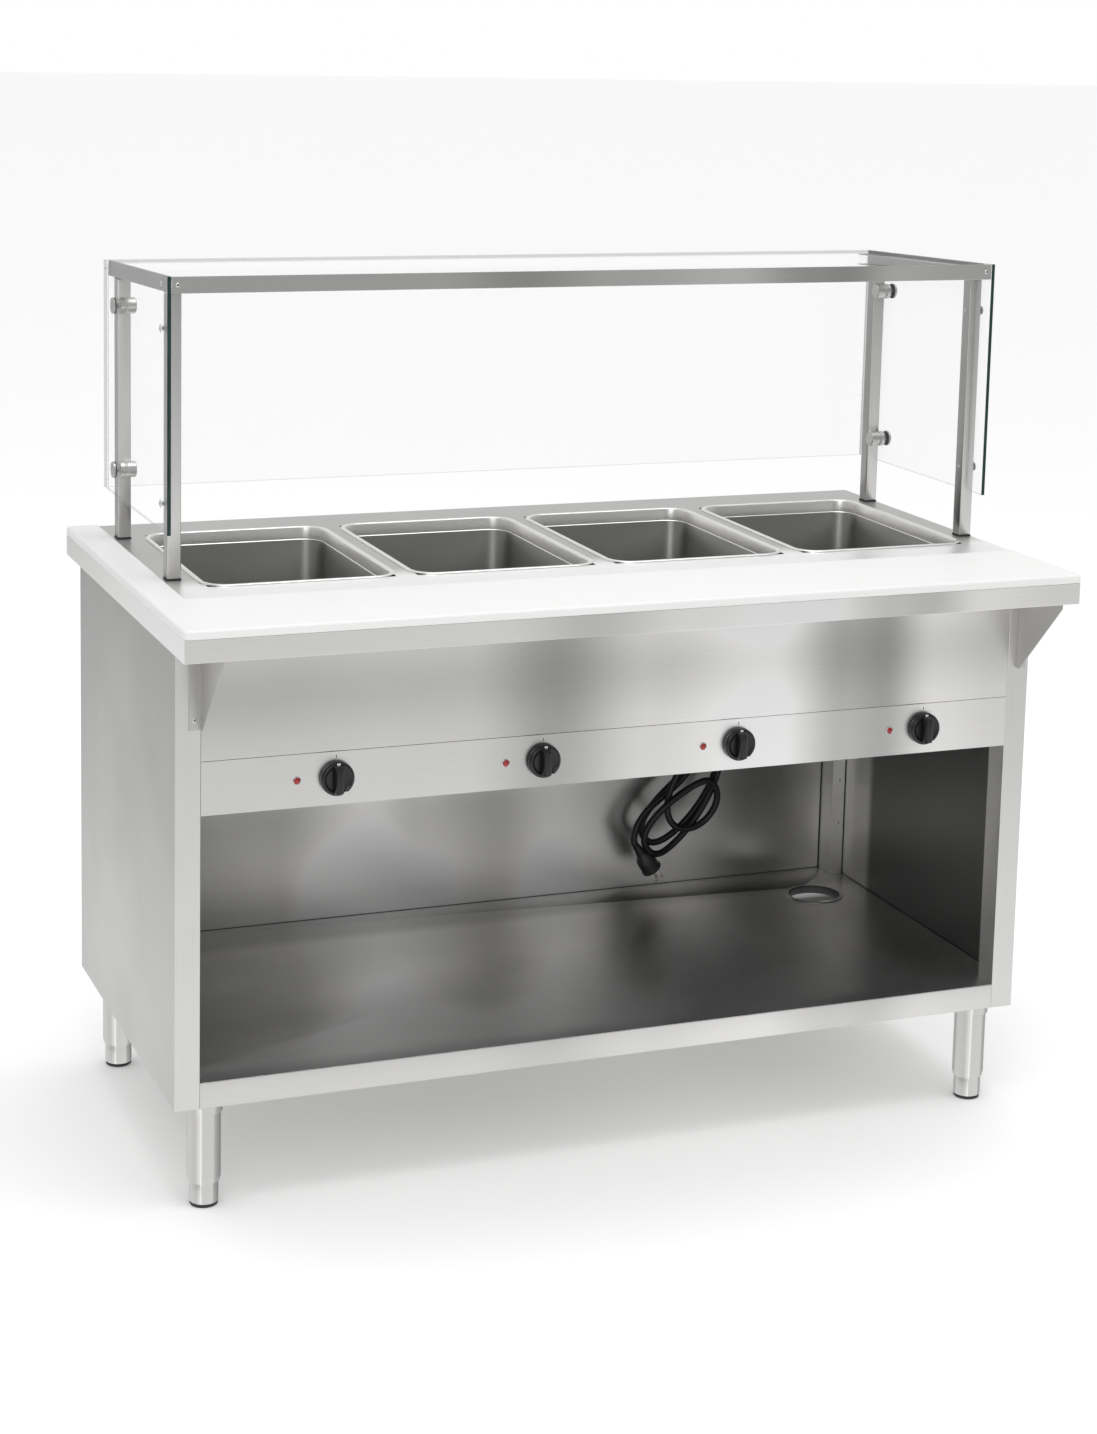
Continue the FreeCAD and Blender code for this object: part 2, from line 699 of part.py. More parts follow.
def trim_left():
    """Apron channel under the left board, closing the end of the counter."""
    made = body("trim_left")
    skin = f"{BOARD_LEFT} + {WALL}"
    pad(made, "YZ_Plane", BOARD_LEFT, oblong(BOARD_FRONT, BACK, BODY_TOP, TRIM_TOP), WALL)
    start = f"{BOARD_FRONT} + dim.trim_return + 2 * dim.fit_gap"
    top = oblong(skin, f"{DECK_LEFT} - dim.fit_gap", start, BACK)
    pad(made, "XY_Plane", f"{TRIM_TOP} - {WALL}", top, WALL)
    bottom = oblong(skin, f"{LEFT} - dim.fit_gap", start, BACK)
    pad(made, "XY_Plane", BODY_TOP, bottom, WALL)
    return made


def boards():
    """Cutting boards along the front and the left end, mitred at the corner."""
    front = body("board_front")
    corners = [(BOARD_LEFT, BOARD_FRONT), (RIGHT, BOARD_FRONT), (RIGHT, DECK_FRONT),
               (DECK_LEFT, DECK_FRONT)]
    pad(front, "XY_Plane", TRIM_TOP, corners, "dim.board_thick")
    end = body("board_left")
    seam = "dim.fit_gap"
    corners = [(BOARD_LEFT, f"{BOARD_FRONT} + 4 * {seam}"),
               (DECK_LEFT, f"{DECK_FRONT} + 4 * {seam}"),
               (DECK_LEFT, BACK), (BOARD_LEFT, BACK)]
    pad(end, "XY_Plane", TRIM_TOP, corners, "dim.board_thick")


def counter_brackets():
    """Triangular gussets that carry the overhanging board at both ends."""
    made = []
    for side in SIDES:
        sign = {"left": "-", "right": ""}[side]
        edge = {"left": f"{LEFT} + dim.post_face", "right": f"{RIGHT} - dim.post_face / 2 - 4"}
        plate_x = edge[side]
        low_x = {"left": f"{plate_x} - {WALL}", "right": plate_x}[side]
        owner = doc.addObject("PartDesign::Body", f"bracket_{side}")
        front = f"{FRONT} - dim.bracket_reach"
        low = f"{BODY_TOP} - dim.bracket_drop"
        toe = 10
        web = [(FRONT, BODY_TOP), (front, BODY_TOP), (front, f"{BODY_TOP} - {toe}"),
               (f"{FRONT} - {toe}", low), (FRONT, low)]
        pad(owner, "YZ_Plane", low_x, web, WALL)
        ear = sorted_span(low_x, f"{low_x} + {sign}(dim.bracket_flange)", side)
        flange = oblong(*ear, low, BODY_TOP)
        pad(owner, "XZ_Plane", f"-({FRONT})", flange, WALL)
        made.append(owner)
    return group("counter_brackets", made)


def sorted_span(start, end, side):
    """The two ends of a flange, lower first; the left one runs to the left."""
    if side == "left":
        return end, f"{start} + {WALL}"
    return start, end


# ---------------------------------------------------------------- legs


def legs():
    """Tube legs with a tapered end and a collar against the cabinet."""
    made = []
    outer = "dim.leg_radius"
    inner = f"{outer} - dim.leg_wall"
    nose = "dim.foot_radius + dim.fit_gap"
    low = "dim.leg_bottom - dim.taper_drop"
    collar_low = "dim.body_bottom - dim.collar_drop"
    profile = [
        (nose, low),
        (f"{nose} + dim.leg_wall", low),
        (outer, "dim.leg_bottom"),
        (outer, collar_low),
        ("dim.collar_radius", collar_low),
        ("dim.collar_radius", "dim.body_bottom"),
        ("dim.stem_radius + dim.fit_gap", "dim.body_bottom"),
        ("dim.stem_radius + dim.fit_gap", "dim.body_bottom - 6"),
        (inner, "dim.body_bottom - 6"),
        (inner, "dim.leg_bottom"),
        (nose, "dim.leg_bottom - 1"),
    ]
    for index, (x, y) in enumerate(leg_spots(), start=1):
        owner = doc.addObject("PartDesign::Body", f"leg_{index}")
        turn_profile(owner, profile)
        place(owner, x, y)
        made.append(owner)
    return group("legs", made)


def feet():
    """Levelling feet on their stems, each with a pad that meets the floor."""
    top = "dim.leg_bottom + dim.foot_travel + 10"
    stem_top = "dim.body_bottom - 12"
    foot = [
        ("0", "dim.pad_thick"),
        ("dim.foot_radius - 1.5", "dim.pad_thick"),
        ("dim.foot_radius", "dim.pad_thick + 3"),
        ("dim.foot_radius", top),
        ("dim.stem_radius", top),
        ("dim.stem_radius", stem_top),
        ("0", stem_top),
    ]
    sole = [
        ("0", "0"),
        ("dim.foot_radius - 3", "0"),
        ("dim.foot_radius - 0.8", "1.5"),
        ("dim.foot_radius - 0.8", "dim.pad_thick"),
        ("0", "dim.pad_thick"),
    ]
    for index, (x, y) in enumerate(leg_spots(), start=1):
        turned(f"foot_{index}", foot, (x, y, "0"))
        turned(f"foot_pad_{index}", sole, (x, y, "0"))


# ---------------------------------------------------------------- controls


def knob(index):
    """Round knob with a raised grip bar and a blind bore for its shaft."""
    made = body(f"knob_{index + 1}")
    centre = ("0", "0")
    skirt = "dim.knob_depth * 0.45"
    bore = "dim.shaft_radius + dim.run_clear"
    pad_round(made, "XZ_Plane", "dim.knob_gap", centre, "dim.knob_radius", skirt, bore)
    crown = "dim.knob_gap + dim.knob_depth * 0.45"
    pad_round(made, "XZ_Plane", crown, centre, "dim.knob_radius * 0.86", "dim.knob_depth * 0.2")
    grip = "dim.knob_radius * 0.2"
    bar = oblong(f"-{grip}", grip, "-dim.knob_radius * 0.84", "dim.knob_radius * 0.84")
    pad(made, "XZ_Plane", "dim.knob_gap + dim.knob_depth * 0.65", bar, "dim.knob_depth * 0.35")
    place(made, knob_x(index), FRONT, KNOB_AXIS)
    return made


def control_shaft(index):
    """Shaft from the knob's bore into the switch's bushing."""
    made = rod(f"control_shaft_{index + 1}", "dim.shaft_radius", "dim.shaft_length",
               (knob_x(index), f"{FRONT} - dim.knob_gap - dim.knob_depth * 0.45 + 0.5",
                KNOB_AXIS), "y")
    made.Label = f"control_shaft_{index + 1}"
    return made


def switch_bodies():
    """Infinite switches behind the panel, held by a bushing through it."""
    made = []
    for index in WELLS:
        owner = doc.addObject("PartDesign::Body", f"switch_{index + 1}")
        half = "dim.switch_size / 2"
        square = oblong(f"-{half}", half, f"-{half}", half)
        behind = f"-({WALL})"
        pad(owner, "XZ_Plane", f"{behind} - dim.switch_depth", square, "dim.switch_depth")
        pad_round(owner, "XZ_Plane", behind, ("0", "0"), "dim.nose_radius", f"{WALL} + 1")
        bore = "dim.shaft_radius + dim.run_clear"
        reach = "dim.shaft_length"
        pocket_round(owner, "XZ_Plane", "1.5", ("0", "0"), bore, reach)
        place(owner, knob_x(index), FRONT, KNOB_AXIS)
        made.append(owner)
    return group("switch_bodies", made)


def pilot_lamps():
    """Lens in front of the panel and lamp body through it, as two solids each."""
    made = []
    for index in WELLS:
        lens = doc.addObject("PartDesign::Body", f"pilot_lens_{index + 1}")
        dome = [
            ("0", "0"),
            ("dim.lamp_radius", "0"),
            ("dim.lamp_radius", "1.2"),
            ("dim.lamp_radius * 0.7", "3.4"),
            ("0", "4"),
        ]
        turn_profile(lens, dome)
        lens.Placement.Rotation = FreeCAD.Rotation(FreeCAD.Vector(1, 0, 0), 90)
        place(lens, lamp_x(index), FRONT, KNOB_AXIS)
        made.append(lens)
        made.append(rod(f"pilot_body_{index + 1}", "dim.lamp_body_radius", "26",
                        (lamp_x(index), FRONT, KNOB_AXIS), "y"))
    return group("pilot_lamps", made)


def junction_box():
    """Terminal box on the housing floor, over the cord gland."""
    low = f"dim.panel_bottom + 2 * {WALL}"
    x = f"{LEFT} + dim.gland_x - dim.box_width / 2"
    y = f"{INNER_BACK} - dim.fit_gap - dim.box_depth - 8"
    shell = block("box_shell", ("dim.box_width", "dim.box_depth", "dim.box_height"), (x, y, low))
    inside = [f"dim.box_width - 2 * {WALL}", f"dim.box_depth - 2 * {WALL}",
              f"dim.box_height - {WALL}"]
    core = block("box_core", inside, (f"{x} + {WALL}", f"{y} + {WALL}", f"{low} - 1"))
    return cut("junction_box", shell, core)


# ---------------------------------------------------------------- food guard


def fall(y):
    """How far the guard's top has dropped at a distance back."""
    return f"(({y}) - {GUARD_FRONT}) * dim.guard_fall / dim.guard_depth"


def roof(y, below="0"):
    return f"dim.guard_top - {fall(y)} - ({below})"


def sloped(owner, x_low, x_length, y_low, y_high, top, bottom):
    """A plate that follows the falling top, between two depths below it."""
    corners = [(y_low, roof(y_low, bottom)), (y_high, roof(y_high, bottom)),
               (y_high, roof(y_high, top)), (y_low, roof(y_low, top))]
    return pad(owner, "YZ_Plane", x_low, corners, x_length)


POST_SPOTS = [(side, row) for row in ("front", "rear") for side in SIDES]


def post_x(side):
    return {"left": GUARD_LEFT, "right": f"{GUARD_RIGHT} - dim.post_size"}[side]


def post_y(row):
    return {"front": FRONT_POST, "rear": REAR_POST}[row]


def post_crown(row):
    return roof(f"{post_y(row)} + dim.post_size", "dim.rail_height + dim.gasket_thick")


def guard_posts():
    """Four square posts from the deck to the top rails."""
    made = []
    for side, row in POST_SPOTS:
        low = f"{DECK_TOP} + dim.base_gasket"
        tall = f"{post_crown(row)} - ({low})"
        made.append(block(f"post_{side}_{row}", ("dim.post_size", "dim.post_size", tall),
                          (post_x(side), post_y(row), low)))
    return group("guard_posts", made)


def guard_gaskets():
    """Black gaskets: under and over each post, and under each clamp disc."""
    made = []
    for side, row in POST_SPOTS:
        lap = "dim.gasket_thick"
        made.append(block(f"base_gasket_{side}_{row}",
                          (f"dim.post_size + {lap}", f"dim.post_size + {lap}",
                           "dim.base_gasket"),
                          (f"{post_x(side)} - {lap} / 2", f"{post_y(row)} - {lap} / 2",
                           DECK_TOP)))
        made.append(block(f"top_gasket_{side}_{row}",
                          ("dim.post_size", "dim.post_size", "dim.gasket_thick"),
                          (post_x(side), post_y(row), post_crown(row))))
    for side, row in POST_SPOTS:
        radius = {"front": "dim.cap_radius", "rear": "dim.clamp_radius"}[row]
        for height in ("dim.clamp_low", "dim.clamp_high"):
            x = glass_outer(side, "dim.gasket_thick")
            ring = rod("gasket_disc", radius, "dim.gasket_thick", (x, clamp_y(row), height), "x")
            bore = rod("gasket_bore", "dim.bolt_radius + dim.fit_gap", "dim.gasket_thick + 2",
                       (f"{x} - 1", clamp_y(row), height), "x")
            made.append(cut("clamp_gasket", ring, bore))
    return group("guard_gaskets", made)


def side_glass_x(side):
    """Low X of a side pane."""
    left = f"{GUARD_LEFT} - dim.fit_gap - dim.glass_thick"
    return {"left": left, "right": f"{GUARD_RIGHT} + dim.fit_gap"}[side]


def glass_outer(side, thick):
    """Low X of a layer that lies on the outer face of a side pane."""
    left = f"{side_glass_x('left')} - {thick}"
    return {"left": left, "right": f"{side_glass_x('right')} + dim.glass_thick"}[side]


def clamp_y(row):
    """Front bolts pass through their posts; rear clamps stand before theirs."""
    through = f"{FRONT_POST} + dim.post_size / 2"
    before = f"{REAR_POST} - dim.clamp_radius"
    return {"front": through, "rear": before}[row]


def glass_clamps():
    """Disc, bolt and barrel that hold a side pane at each post."""
    made = []
    for side, row in POST_SPOTS:
        radius = {"front": "dim.cap_radius", "rear": "dim.clamp_radius"}[row]
        for height in ("dim.clamp_low", "dim.clamp_high"):
            y = clamp_y(row)
            stack = f"dim.clamp_disc + dim.gasket_thick + dim.glass_thick + dim.fit_gap"
            if side == "left":
                outer = f"{side_glass_x('left')} - dim.gasket_thick - dim.clamp_disc"
                bolt_x = outer
                inner = GUARD_LEFT
            else:
                outer = f"{side_glass_x('right')} + dim.glass_thick + dim.gasket_thick"
                bolt_x = GUARD_RIGHT
                inner = f"{GUARD_RIGHT} - dim.post_size - dim.clamp_disc"
            pieces = [rod("clamp_disc", radius, "dim.clamp_disc", (outer, y, height), "x"),
                      rod("clamp_bolt", "dim.bolt_radius", stack, (bolt_x, y, height), "x")]
            if row == "rear":
                pieces.append(rod("clamp_barrel", radius, "dim.post_size + dim.clamp_disc",
                                  (inner, y, height), "x"))
                made.append(joined("rear_clamp", pieces))
            else:
                made.append(joined("front_cap", pieces))
                nut = {"left": f"{GUARD_LEFT} + dim.post_size", "right": inner}[side]
                made.append(rod("front_nut", radius, "dim.clamp_disc", (nut, y, height), "x"))
    return group("glass_clamps", made)


def front_rail():
    """Front channel of the top frame, with a ledge for the glass."""
    made = body("top_rail_front")
    length = f"{GUARD_RIGHT} - ({GUARD_LEFT})"
    back = f"{GUARD_FRONT} + dim.rail_depth"
    skin = f"{GUARD_FRONT} + {WALL}"
    sloped(made, GUARD_LEFT, length, GUARD_FRONT, skin, "0", "dim.rail_height")
    sloped(made, GUARD_LEFT, length, GUARD_FRONT, back,
           f"dim.rail_height - {WALL}", "dim.rail_height")
    ledge = f"dim.glass_thick + {WALL}"
    sloped(made, GUARD_LEFT, length, GUARD_FRONT, back, "dim.glass_thick", ledge)
    return made


def side_rail(side):
    """Side channel of the top frame, seated on a front and a rear post."""
    made = body(f"top_rail_{side}")
    low = post_x(side)
    web = {"left": low, "right": f"{GUARD_RIGHT} - {WALL}"}[side]
    start = f"{GUARD_FRONT} + dim.rail_depth"
    end = f"{GUARD_BACK} - dim.glass_thick - dim.fit_gap"
    sloped(made, web, WALL, start, end, "0", "dim.rail_height")
    sloped(made, low, "dim.post_size", start, end,
           f"dim.rail_height - {WALL}", "dim.rail_height")
    sloped(made, low, "dim.post_size", start, end, "dim.glass_thick",
           f"dim.glass_thick + {WALL}")
    return made


def guard_glass():
    """Top, rear and two side panes, cut to follow the falling top."""
    gap = "0.3"
    x_low = f"{GUARD_LEFT} + {WALL} + {gap}"
    width = f"{GUARD_RIGHT} - {WALL} - {gap} - ({x_low})"
    top = body("glass_top")
    sloped(top, x_low, width, f"{GUARD_FRONT} + {WALL} + {gap}", GUARD_BACK, "0",
           "dim.glass_thick")
    rear = body("glass_rear")
    y_low = f"{GUARD_BACK} - dim.glass_thick"
    corners = [(y_low, "dim.glass_bottom"), (GUARD_BACK, "dim.glass_bottom"),
               (GUARD_BACK, roof(GUARD_BACK, f"dim.glass_thick + {gap}")),
               (y_low, roof(y_low, f"dim.glass_thick + {gap}"))]
    pad(rear, "YZ_Plane", GUARD_LEFT, corners, f"{GUARD_RIGHT} - ({GUARD_LEFT})")
    for side in SIDES:
        pane = body(f"glass_{side}")
        corners = [(GUARD_FRONT, "dim.glass_bottom"), (GUARD_BACK, "dim.glass_bottom"),
                   (GUARD_BACK, roof(GUARD_BACK)), (GUARD_FRONT, roof(GUARD_FRONT))]
        holes = [((clamp_y(row), height), f"dim.bolt_radius + dim.fit_gap")
                 for row in ("front", "rear") for height in ("dim.clamp_low", "dim.clamp_high")]
        pad(pane, "YZ_Plane", side_glass_x(side), corners, "dim.glass_thick", holes)


# ---------------------------------------------------------------- fasteners


def screws():
    """Screw heads on the brackets, the guard's rails and the rear posts."""
    made = []
    spots = []
    for side in SIDES:
        flange_x = {"left": f"{LEFT} + dim.post_face - {WALL} - dim.bracket_flange / 2",
                    "right": f"{RIGHT} - dim.post_face / 2 - 4 + dim.bracket_flange / 2 + 1"}
        for drop in (14, 118):
            spots.append((flange_x[side], f"{FRONT} - {WALL} - dim.screw_head",
                          f"{BODY_TOP} - {drop}", "y"))
        rail_x = {"left": f"{GUARD_LEFT} + 9", "right": f"{GUARD_RIGHT} - 9"}[side]
        spots.append((rail_x, f"{GUARD_FRONT} - dim.screw_head",
                      "dim.guard_top - dim.rail_height / 2", "y"))
        for height in (300, 380):
            post_x_mid = {"left": f"{LEFT} + {WALL} + dim.rear_post_width / 2",
                          "right": f"{RIGHT} - {WALL} - dim.rear_post_width / 2"}[side]
            spots.append((post_x_mid, f"{INNER_BACK} - dim.rear_post_depth - dim.screw_head",
                          f"{height}", "y"))
    for x, y, z, axis in spots:
        made.append(rod("screw", "dim.screw_radius", "dim.screw_head", (x, y, z), axis))
    return group("screws", made)


# ---------------------------------------------------------------- supply cord


def cord_gland():
    """Strain relief through the housing floor: nut, flange and tapered nose."""
    bore = "dim.cord_diameter / 2"
    grip = f"{bore} + 3.5"
    floor_low = f"dim.panel_bottom + {WALL}"
    floor_high = f"dim.panel_bottom + 2 * {WALL}"
    profile = [
        (bore, f"{floor_low} - dim.gland_nose"),
        (f"{bore} + 2", f"{floor_low} - dim.gland_nose"),
        (f"{bore} + 5", f"{floor_low} - 8"),
        (f"{bore} + 8", f"{floor_low} - 8"),
        (f"{bore} + 8", floor_low),
        (grip, floor_low),
        (grip, floor_high),
        (f"{bore} + 7", floor_high),
        (f"{bore} + 7", f"{floor_high} + 6"),
        (bore, f"{floor_high} + 6"),
    ]
    return turned("cord_gland", profile, (f"{LEFT} + dim.gland_x", f"{FRONT} + dim.gland_y", "0"))


def rounded_path(route):
    """Straight runs joined by tangent arcs, and the arcs' radii."""
    edges = []
    radii = []
    here = route[0]
    for index in range(1, len(route) - 1):
        corner = route[index]
        before = route[index - 1] - corner
        after = route[index + 1] - corner
        turn = math.pi - before.getAngle(after)
        setback = 0.45 * min(before.Length, after.Length)
        radius = setback / math.tan(turn / 2)
        enter = corner + before.normalize() * setback
        leave = corner + after.normalize() * setback
        inward = (before + after).normalize()
        reach = math.hypot(radius, setback) - radius
        edges.append(Part.LineSegment(here, enter).toShape())
        edges.append(Part.Arc(enter, corner + inward * reach, leave).toShape())
        radii.append(radius)
        here = leave
    edges.append(Part.LineSegment(here, route[-1]).toShape())
    return edges, radii


# The lead's route from inside the gland's nose to the top of the hank.
LEAD_STEPS = [(0, 0, 0), (0, 0, -28), (-3, 1, -60), (-8.5, 0, -90)]


def cord_lead():
    """Free cord between the gland and the hank."""
    start = FreeCAD.Vector(number(f"{LEFT} + dim.gland_x"), number(f"{FRONT} + dim.gland_y"),
                           number(f"dim.panel_bottom + {WALL} - dim.gland_nose + dim.gland_grip"))
    route = [start + FreeCAD.Vector(*step) for step in LEAD_STEPS]
    edges, radii = rounded_path(route)
    path = Part.Wire(edges)
    radius = number("dim.cord_diameter") / 2
    profile = Part.Wire(Part.makeCircle(radius, route[0], FreeCAD.Vector(0, 0, -1)))
    tube = path.makePipeShell([profile], True, False)
    made = doc.addObject("Part::Feature", "supply_cord_lead")
    made.Label = "supply_cord_lead"
    made.Shape = tube
    expected = math.pi * radius ** 2 * path.Length
    print("cord lead radii", [round(value) for value in radii],
          "volume ratio", round(tube.Volume / expected, 4))
    return made


def cord_hank():
    """Outer shape of the hanging hank: a slab with round ends."""
    made = body("supply_cord_hank")
    low = (f"{LEFT} + dim.hank_low_x", "dim.hank_low_z")
    high = (f"{LEFT} + dim.hank_high_x", "dim.hank_high_z")
    lean_x = "(dim.hank_high_x - dim.hank_low_x)"
    lean_z = "(dim.hank_high_z - dim.hank_low_z)"
    span = f"sqrt({lean_x} ^ 2 + {lean_z} ^ 2)"
    side_x = f"dim.hank_radius * {lean_z} / {span}"
    side_z = f"dim.hank_radius * {lean_x} / {span}"
    corners = [
        (f"{low[0]} - {side_x}", f"{low[1]} + {side_z}"),
        (f"{low[0]} + {side_x}", f"{low[1]} - {side_z}"),
        (f"{high[0]} + {side_x}", f"{high[1]} - {side_z}"),
        (f"{high[0]} - {side_x}", f"{high[1]} + {side_z}"),
    ]
    near = f"-({FRONT} + dim.gland_y + dim.hank_thick / 2)"
    pad(made, "XZ_Plane", near, corners, "dim.hank_thick")
    for centre in (low, high):
        pad_round(made, "XZ_Plane", near, centre, "dim.hank_radius", "dim.hank_thick")
    return made


def cord_strap():
    """Strap that hangs the hank from the housing floor."""
    high = f"dim.panel_bottom + {WALL}"
    low = "dim.hank_high_z + dim.hank_radius - 2 * dim.cord_seat"
    size = ("16", "2", f"{high} - ({low})")
    made = block("cord_strap", size, (f"{LEFT} + dim.hank_high_x - 12",
                                      f"{FRONT} + dim.gland_y + dim.hank_thick / 4", low))
    made.Label = "cord_strap"
    return made


def plug():
    """Moulded plug under the hank's lower end, leaning, with three pins out of its face."""
    at = (f"{LEFT} + dim.hank_low_x - dim.plug_left", f"{FRONT} + dim.gland_y",
          "dim.hank_low_z - dim.plug_drop")
    shell = rod("plug_shell", "dim.plug_radius", "dim.plug_length", ("0", "0", "-dim.plug_length"),
                "z")
    pins = []
    for shift in (-6.5, 6.5):
        pins.append(block("plug_blade", ("1.6", "6.4", "dim.blade_length"),
                          (f"{shift} - 0.8", "-8", "-dim.plug_length - dim.blade_length")))
    pins.append(rod("plug_pin", "2.5", "dim.pin_length",
                    ("0", "8", "-dim.plug_length - dim.pin_length"), "z"))
    for made in (group("plug_body", [shell]), group("plug_blades", pins)):
        made.Placement.Rotation = FreeCAD.Rotation(FreeCAD.Vector(0, -1, 0),
                                                   number("dim.plug_lean"))
        place(made, *at)


# ---------------------------------------------------------------- build


for each_side in SIDES:
    side_panel(each_side)
    rear_post(each_side)
    side_rail(each_side)
back_panel()
bottom_shelf()
shelf_port_ring()
leg_plates()
front_panels()
housing_floor()
deck()
for each_well in WELLS:
    well(each_well)
    knob(each_well)
    control_shaft(each_well)
heating_elements()
trim_front()
trim_left()
boards()
counter_brackets()
legs()
feet()
switch_bodies()
pilot_lamps()
junction_box()
guard_posts()
guard_gaskets()
glass_clamps()
front_rail()
guard_glass()
screws()
cord_gland()
cord_lead()
cord_hank()
cord_strap()
plug()
doc.recompute()

GROUPED = set()
for item in doc.Objects:
    for inner in item.OutList:
        if item.TypeId in ("Part::Compound", "Part::MultiFuse", "Part::Cut"):
            GROUPED.add(inner.Name)
        if item.TypeId == "PartDesign::Boolean":
            GROUPED.add(inner.Name)


def is_node(item):
    """A body, primitive, boolean or feature that stands by itself."""
    kinds = ("PartDesign::Body", "Part::Box", "Part::Cylinder", "Part::Cut", "Part::Compound",
             "Part::Feature", "Part::MultiFuse")
    return item.TypeId in kinds and item.Name not in GROUPED


failed = [item.Label for item in doc.Objects if {"Invalid", "Error"} & set(item.State)]
nodes = [item for item in doc.Objects if is_node(item)]
for node in nodes:
    if node.Shape.isNull() or not node.Shape.isValid() or not node.Shape.Solids:
        failed.append(node.Label)
if failed:
    raise RuntimeError("not built: " + ", ".join(failed))
os.makedirs("parts", exist_ok=True)
whole = FreeCAD.BoundBox()
for node in nodes:
    node.Shape.exportStep(f"parts/{node.Label}.step")
    whole.add(node.Shape.BoundBox)
print(len(nodes), "nodes", whole)
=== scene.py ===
"""Looks of a four-well hot food table with a glass food guard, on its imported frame.

Metres, +Z up, the server's side at -Y.  Run as a script inside Blender.
"""
import math

import bmesh
import bpy
from bpy.props import FloatProperty, FloatVectorProperty, IntProperty, PointerProperty
from mathutils import Matrix, Vector


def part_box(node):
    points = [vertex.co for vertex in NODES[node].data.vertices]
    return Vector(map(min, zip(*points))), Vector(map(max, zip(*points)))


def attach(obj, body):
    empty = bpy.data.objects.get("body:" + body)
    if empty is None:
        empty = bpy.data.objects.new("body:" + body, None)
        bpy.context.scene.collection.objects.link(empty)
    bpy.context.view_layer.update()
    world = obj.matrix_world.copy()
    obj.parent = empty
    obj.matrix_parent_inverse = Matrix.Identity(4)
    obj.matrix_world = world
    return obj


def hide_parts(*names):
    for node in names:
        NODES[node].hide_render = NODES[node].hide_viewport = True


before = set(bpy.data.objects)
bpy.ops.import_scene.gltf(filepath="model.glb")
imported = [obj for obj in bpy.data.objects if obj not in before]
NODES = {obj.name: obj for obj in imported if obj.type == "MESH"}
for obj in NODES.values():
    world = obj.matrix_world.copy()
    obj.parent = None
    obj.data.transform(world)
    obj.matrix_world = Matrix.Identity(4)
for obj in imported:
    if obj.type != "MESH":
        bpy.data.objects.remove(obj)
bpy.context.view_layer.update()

bl_info = {
    "name": "Hot Food Table",
    "version": (1, 0, 0),
    "blender": (4, 5, 0),
    "location": "3D View > Sidebar > Food Table",
    "description": "Finishes and detail of a hot food table with a glass guard",
    "category": "Object",
}

MM = 0.001
WELLS = range(1, 5)
SIDES = ("left", "right")


# ---------------------------------------------------------------- settings


def colour(name, description, default):
    return FloatVectorProperty(name=name, description=description, default=default,
                               subtype="COLOR", size=3, min=0, max=1)


def length(name, description, default):
    return FloatProperty(name=name, description=description, default=default, unit="LENGTH",
                         min=0)


def share(name, description, default):
    return FloatProperty(name=name, description=description, default=default, min=0, max=1,
                         subtype="FACTOR")


class FoodTableFinish(bpy.types.PropertyGroup):
    """Colours and gloss of the table's materials."""
    steel: colour("Steel", "Satin stainless sheet", (0.60, 0.595, 0.585))
    bright: colour("Bright steel", "Polished rims, feet and screws", (0.76, 0.755, 0.745))
    # Painted shade: the bay's sheets are the same steel, made darker where the bay is in shade.
    bay: colour("Bay steel", "Sheets inside the storage bay", (0.37, 0.37, 0.368))
    pan: colour("Well steel", "Walls and floor of the wells", (0.27, 0.268, 0.262))
    board: colour("Board", "Cutting board", (0.67, 0.67, 0.665))
    glass_edge: colour("Glass edge", "Light caught in the edge of the glass",
                       (0.004, 0.024, 0.019))
    rubber: colour("Rubber", "Gaskets and pads", (0.018, 0.018, 0.019))
    knob: colour("Knob", "Moulded control knobs", (0.006, 0.006, 0.0065))
    lamp: colour("Pilot lamp", "Lens of the pilot lamps", (0.32, 0.008, 0.012))
    jacket: colour("Cord", "Jacket of the supply cord", (0.006, 0.006, 0.007))
    nickel: colour("Nickel", "Pins of the plug", (0.66, 0.63, 0.58))
    satin: share("Satin", "Roughness of the brushed sheets", 0.33)
    polish: share("Polish", "Roughness of the bright steel", 0.19)


class FoodTableShape(bpy.types.PropertyGroup):
    """Sizes of what is worked into the pieces."""
    sheet_ease: length("Sheet edge", "Rounding of the cut sheets", 0.6 * MM)
    fold: length("Fold", "Outer radius of the large folds", 1.4 * MM)
    tube_ease: length("Tube edge", "Corner radius of the guard's posts", 1.8 * MM)
    corner: length("Board corner", "Radius of the board's outer corner", 7 * MM)
    board_ease: length("Board edge", "Rounding of the board's upper edge", 4.2 * MM)
    glass_ease: length("Glass edge", "Ground edge of the panes", 0.7 * MM)
    collar: length("Collar", "Bright band at the top of a well", 21 * MM)
    floor_bend: length("Floor bend", "Radius between a well's walls and floor", 16 * MM)
    turn_steps: IntProperty(name="Turning steps", description="Facets round a turned piece",
                            default=48, min=12)
    cord: length("Cord", "Diameter of the supply cord", 12 * MM)


